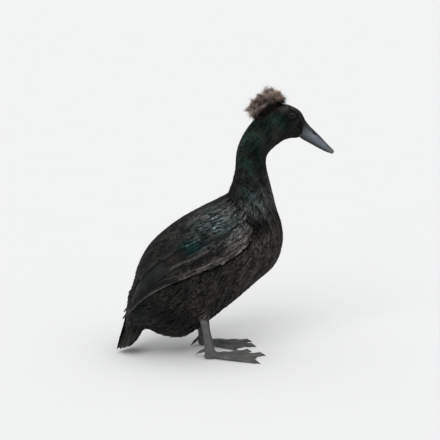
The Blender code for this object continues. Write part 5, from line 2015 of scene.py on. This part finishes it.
def web_shell(side, first, second):
    """The skin between two toes, with a scalloped front edge and soft folds that fan out."""
    a, b = (toe_path(side, toe, TOE_ROWS)[0] for toe in (first, second))
    steps, across = 30, 22
    i, k = np.meshgrid(np.linspace(0, 1, steps), np.linspace(0, 1, across), indexing="ij")
    dip = np.sin(np.pi * k)
    reach = i * WEB_REACH * (1 - WEB_SCALLOP * dip) * TOE_ROWS
    points = curve_through(a, reach) * (1 - k)[..., None] + curve_through(b, reach) * k[..., None]
    fold = 0.6 * np.cos(2 * np.pi * 4 * k) * i * dip + 0.16 * np.sin(i * 38 + 3 * k)
    points[..., 2] = points[..., 2] * 0.72 + (fold - 0.6 * dip) * MM
    half = np.array([0, 0, WEB_THICKNESS_MM * MM / 2])
    return shell(np.concatenate([points + half, (points - half)[:, ::-1]], axis=1))


def shank_shell(side):
    """The shank from under the thigh's feathers down to the heel."""
    thigh, hock, joint = (np.array(point) for point in leg_points(side))
    heel = heel_at(side) + np.array([2, 0, 4]) * MM
    angle = turns(28)
    rings = []
    for share in np.linspace(-0.16, 1, 34):
        fore, across = shank_radii(max(share, 0.0))
        centre = hock + (joint - hock if share > 0 else hock - thigh) * share
        tighter = 1 - 0.13 * math.exp(-(((share - 0.055) / 0.03) ** 2))
        rings.append((centre, fore * tighter, across * tighter))
    fore, across = shank_radii(1.0)
    for share in np.linspace(0.1, 1, 10):
        grow = 1 + 0.18 * share
        rings.append((joint + (heel - joint) * share, fore * grow, across * grow))
    points = [c + np.stack([f * np.cos(angle), a * np.sin(angle), 0 * angle], -1) for c, f, a in rings]
    return shell(np.stack(points))


class DUCK_OT_legs(bpy.types.Operator):
    """Makes the legs with their webbed feet, the scutes along them and the claws"""

    bl_idname = "duck.legs"
    bl_label = "Legs"

    def execute(self, context):
        parts = context.scene.bare_parts
        look, horn = leg_look(parts), claw_look(parts)
        scute = plate("scute")
        for word, side in SIDES.items():
            heel = heel_at(side) + np.array([-0.5, 0, 4.4]) * MM
            shells = [shank_shell(side), ball(heel, (8.4 * MM, 6.6 * MM, 4.8 * MM))]
            shells += [tube_along(*toe_path(side, toe)) for toe in TOES[side]]
            shells.append(tube_along(*hallux_path(side)))
            shells += [web_shell(side, "outer", "middle"), web_shell(side, "middle", "inner")]
            leg = mesh_object("leg_" + word, *merged(shells), look)
            remeshed(leg, LEG_VOXEL_MM * MM, 7)
            points = points_of(leg.data)
            points[:, 2] = np.maximum(points[:, 2], 0)
            leg.data.vertices.foreach_set("co", points.ravel())
            finish_piece(leg, "leg_skin", "shank_" + word, "foot_" + word)
            self.make_scutes(word, side, scute, look)
            self.make_claws(word, side, horn)
        bpy.data.objects.remove(scute)
        return {"FINISHED"}

    def make_scutes(self, word, side, scute, look):
        """Overlapping plates down the front of the shank and along the toes."""
        _, hock, joint = (np.array(point) for point in leg_points(side))
        share = np.linspace(0.1, 1, 24)
        fore = np.array([shank_radii(value)[0] for value in share])
        front = hock + (joint - hock) * share[:, None] + np.array([1, 0, 0]) * fore[:, None] * 0.96
        outs = np.broadcast_to(np.array([1.0, 0.0, 0.12]), front.shape)
        shank = path_row(
            "shank_scutes_" + word, [front], [outs], [np.full(len(front), 7.2 * MM)],
            scute, 24, 2.9 * MM, 0.5 * MM, 0.06, 7, look,
        )
        finish_piece(shank, "leg_skin")
        paths, outs, girths = [], [], []
        for toe in TOES[side]:
            path, radii = toe_path(side, toe)
            kept = slice(6, -1)
            paths.append(path[kept] + np.array([0, 0, 1]) * radii[kept, 1:] * 0.88)
            outs.append(np.broadcast_to(np.array([0.0, 0.0, 1.0]), paths[-1].shape))
            girths.append(radii[kept, 0] * 1.5)
        toes = path_row(
            "toe_scutes_" + word, paths, outs, girths, scute, 36, 2.2 * MM, 0.4 * MM, 0.08, 8, look
        )
        finish_piece(toes, "leg_skin")

    def make_claws(self, word, side, look):
        """The four claws of a foot, each curving down to its point."""
        for toe in (*TOES[side], "hallux"):
            path, radii = hallux_path(side) if toe == "hallux" else toe_path(side, toe)
            way = unit(path[-1] - path[-2])
            share = np.linspace(0, 1, 16)
            size = radii[-1, 0] * 0.7 * (1 - 0.93 * share**1.3)
            line = path[-1] + way * ((CLAW_LENGTH_MM + 2.0) * share - 1.7)[:, None] * MM
            line[:, 2] = np.maximum(line[:, 2] - 3.2 * MM * share**2, size + 0.1 * MM)
            points, faces = tube_along(line, np.stack([size * 0.8, size], -1), CLAW_SIDES)
            along = np.repeat(share, CLAW_SIDES)
            obj = mesh_object(f"horn_{word}_{toe}", points, faces, look, {"along": along})
            finish_piece(obj, "claw", f"claw_{word}_{toe}")


# The studio


class DUCK_OT_studio(bpy.types.Operator):
    """Sets the pale floor, the soft light and the camera"""

    bl_idname = "duck.studio"
    bl_label = "Studio"

    def execute(self, context):
        sizes = context.scene.studio_sizes
        scene = context.scene
        scene.view_settings.view_transform = "Standard"
        made, tree, shader = new_look("studio_floor", 0.9, 0.0)
        paper = noise(tree, object_place(tree), 6.0)
        darker = [value * 0.995 for value in sizes.floor]
        colour = blend(tree, ramp(tree, paper, 0.3, 0.7), sizes.floor, darker)
        tree.links.new(colour, shader.inputs["Base Color"])
        points = np.array([[-60, -60, 0], [60, -60, 0], [60, 60, 0], [-60, 60, 0]], float)
        points[:, 2] = -0.1 * MM
        floor = mesh_object("studio_floor", points, np.array([[0, 1, 2], [0, 2, 3]]), made)
        world = bpy.data.worlds.new("studio")
        world.use_nodes = True
        world.node_tree.nodes["Background"].inputs[0].default_value = (0.96, 0.98, 1.0, 1)
        world.node_tree.nodes["Background"].inputs[1].default_value = sizes.sky
        scene.world = world
        self.add_sun("key_light", sizes.key, 42, (0.25, 0.75, -0.62))
        self.add_sun("top_light", sizes.fill, 70, (-0.25, 0.1, -1.0))
        middle = Vector((-5.1 * MM, 0, 212.9 * MM)) + SHIFT_VECTOR
        away = Vector((0, -math.cos(sizes.pitch), math.sin(sizes.pitch))) * sizes.distance
        camera = added("camera", bpy.data.cameras.new("camera"))
        camera.location = middle + away
        camera.rotation_euler = (-away).to_track_quat("-Z", "Y").to_euler()
        camera.data.lens = sizes.lens
        camera.data.sensor_width = 36
        scene.camera = camera
        return {"FINISHED"}

    def add_sun(self, name, strength, angle, way):
        light = bpy.data.lights.new(name, "SUN")
        light.energy = strength
        light.angle = math.radians(angle)
        added(name, light).rotation_euler = Vector(way).to_track_quat("-Z", "Y").to_euler()


# The panel and the run


OPERATORS = (
    DUCK_OT_skin, DUCK_OT_coat, DUCK_OT_wings, DUCK_OT_tail, DUCK_OT_crest,
    DUCK_OT_bill, DUCK_OT_eyes, DUCK_OT_legs, DUCK_OT_studio,
)


class DUCK_PT_panel(bpy.types.Panel):
    """Lists the duck's sizes and colours, and the steps that make it"""

    bl_idname = "DUCK_PT_panel"
    bl_label = "Crested duck"
    bl_space_type = "VIEW_3D"
    bl_region_type = "UI"
    bl_category = "Duck"

    def draw(self, context):
        for name, kind in SETTINGS.items():
            box = self.layout.box()
            for key in kind.__annotations__:
                box.prop(getattr(context.scene, name), key)
        for operator in OPERATORS:
            self.layout.operator(operator.bl_idname)


CLASSES = (*SETTINGS.values(), *OPERATORS, DUCK_PT_panel)


def register():
    for kind in CLASSES:
        bpy.utils.register_class(kind)
    for name, kind in SETTINGS.items():
        setattr(bpy.types.Scene, name, PointerProperty(type=kind))


def unregister():
    for name in SETTINGS:
        delattr(bpy.types.Scene, name)
    for kind in reversed(CLASSES):
        bpy.utils.unregister_class(kind)


def main():
    register()
    for operator in OPERATORS:
        group, name = operator.bl_idname.split(".")
        getattr(getattr(bpy.ops, group), name)()


if __name__ == "__main__":
    main()
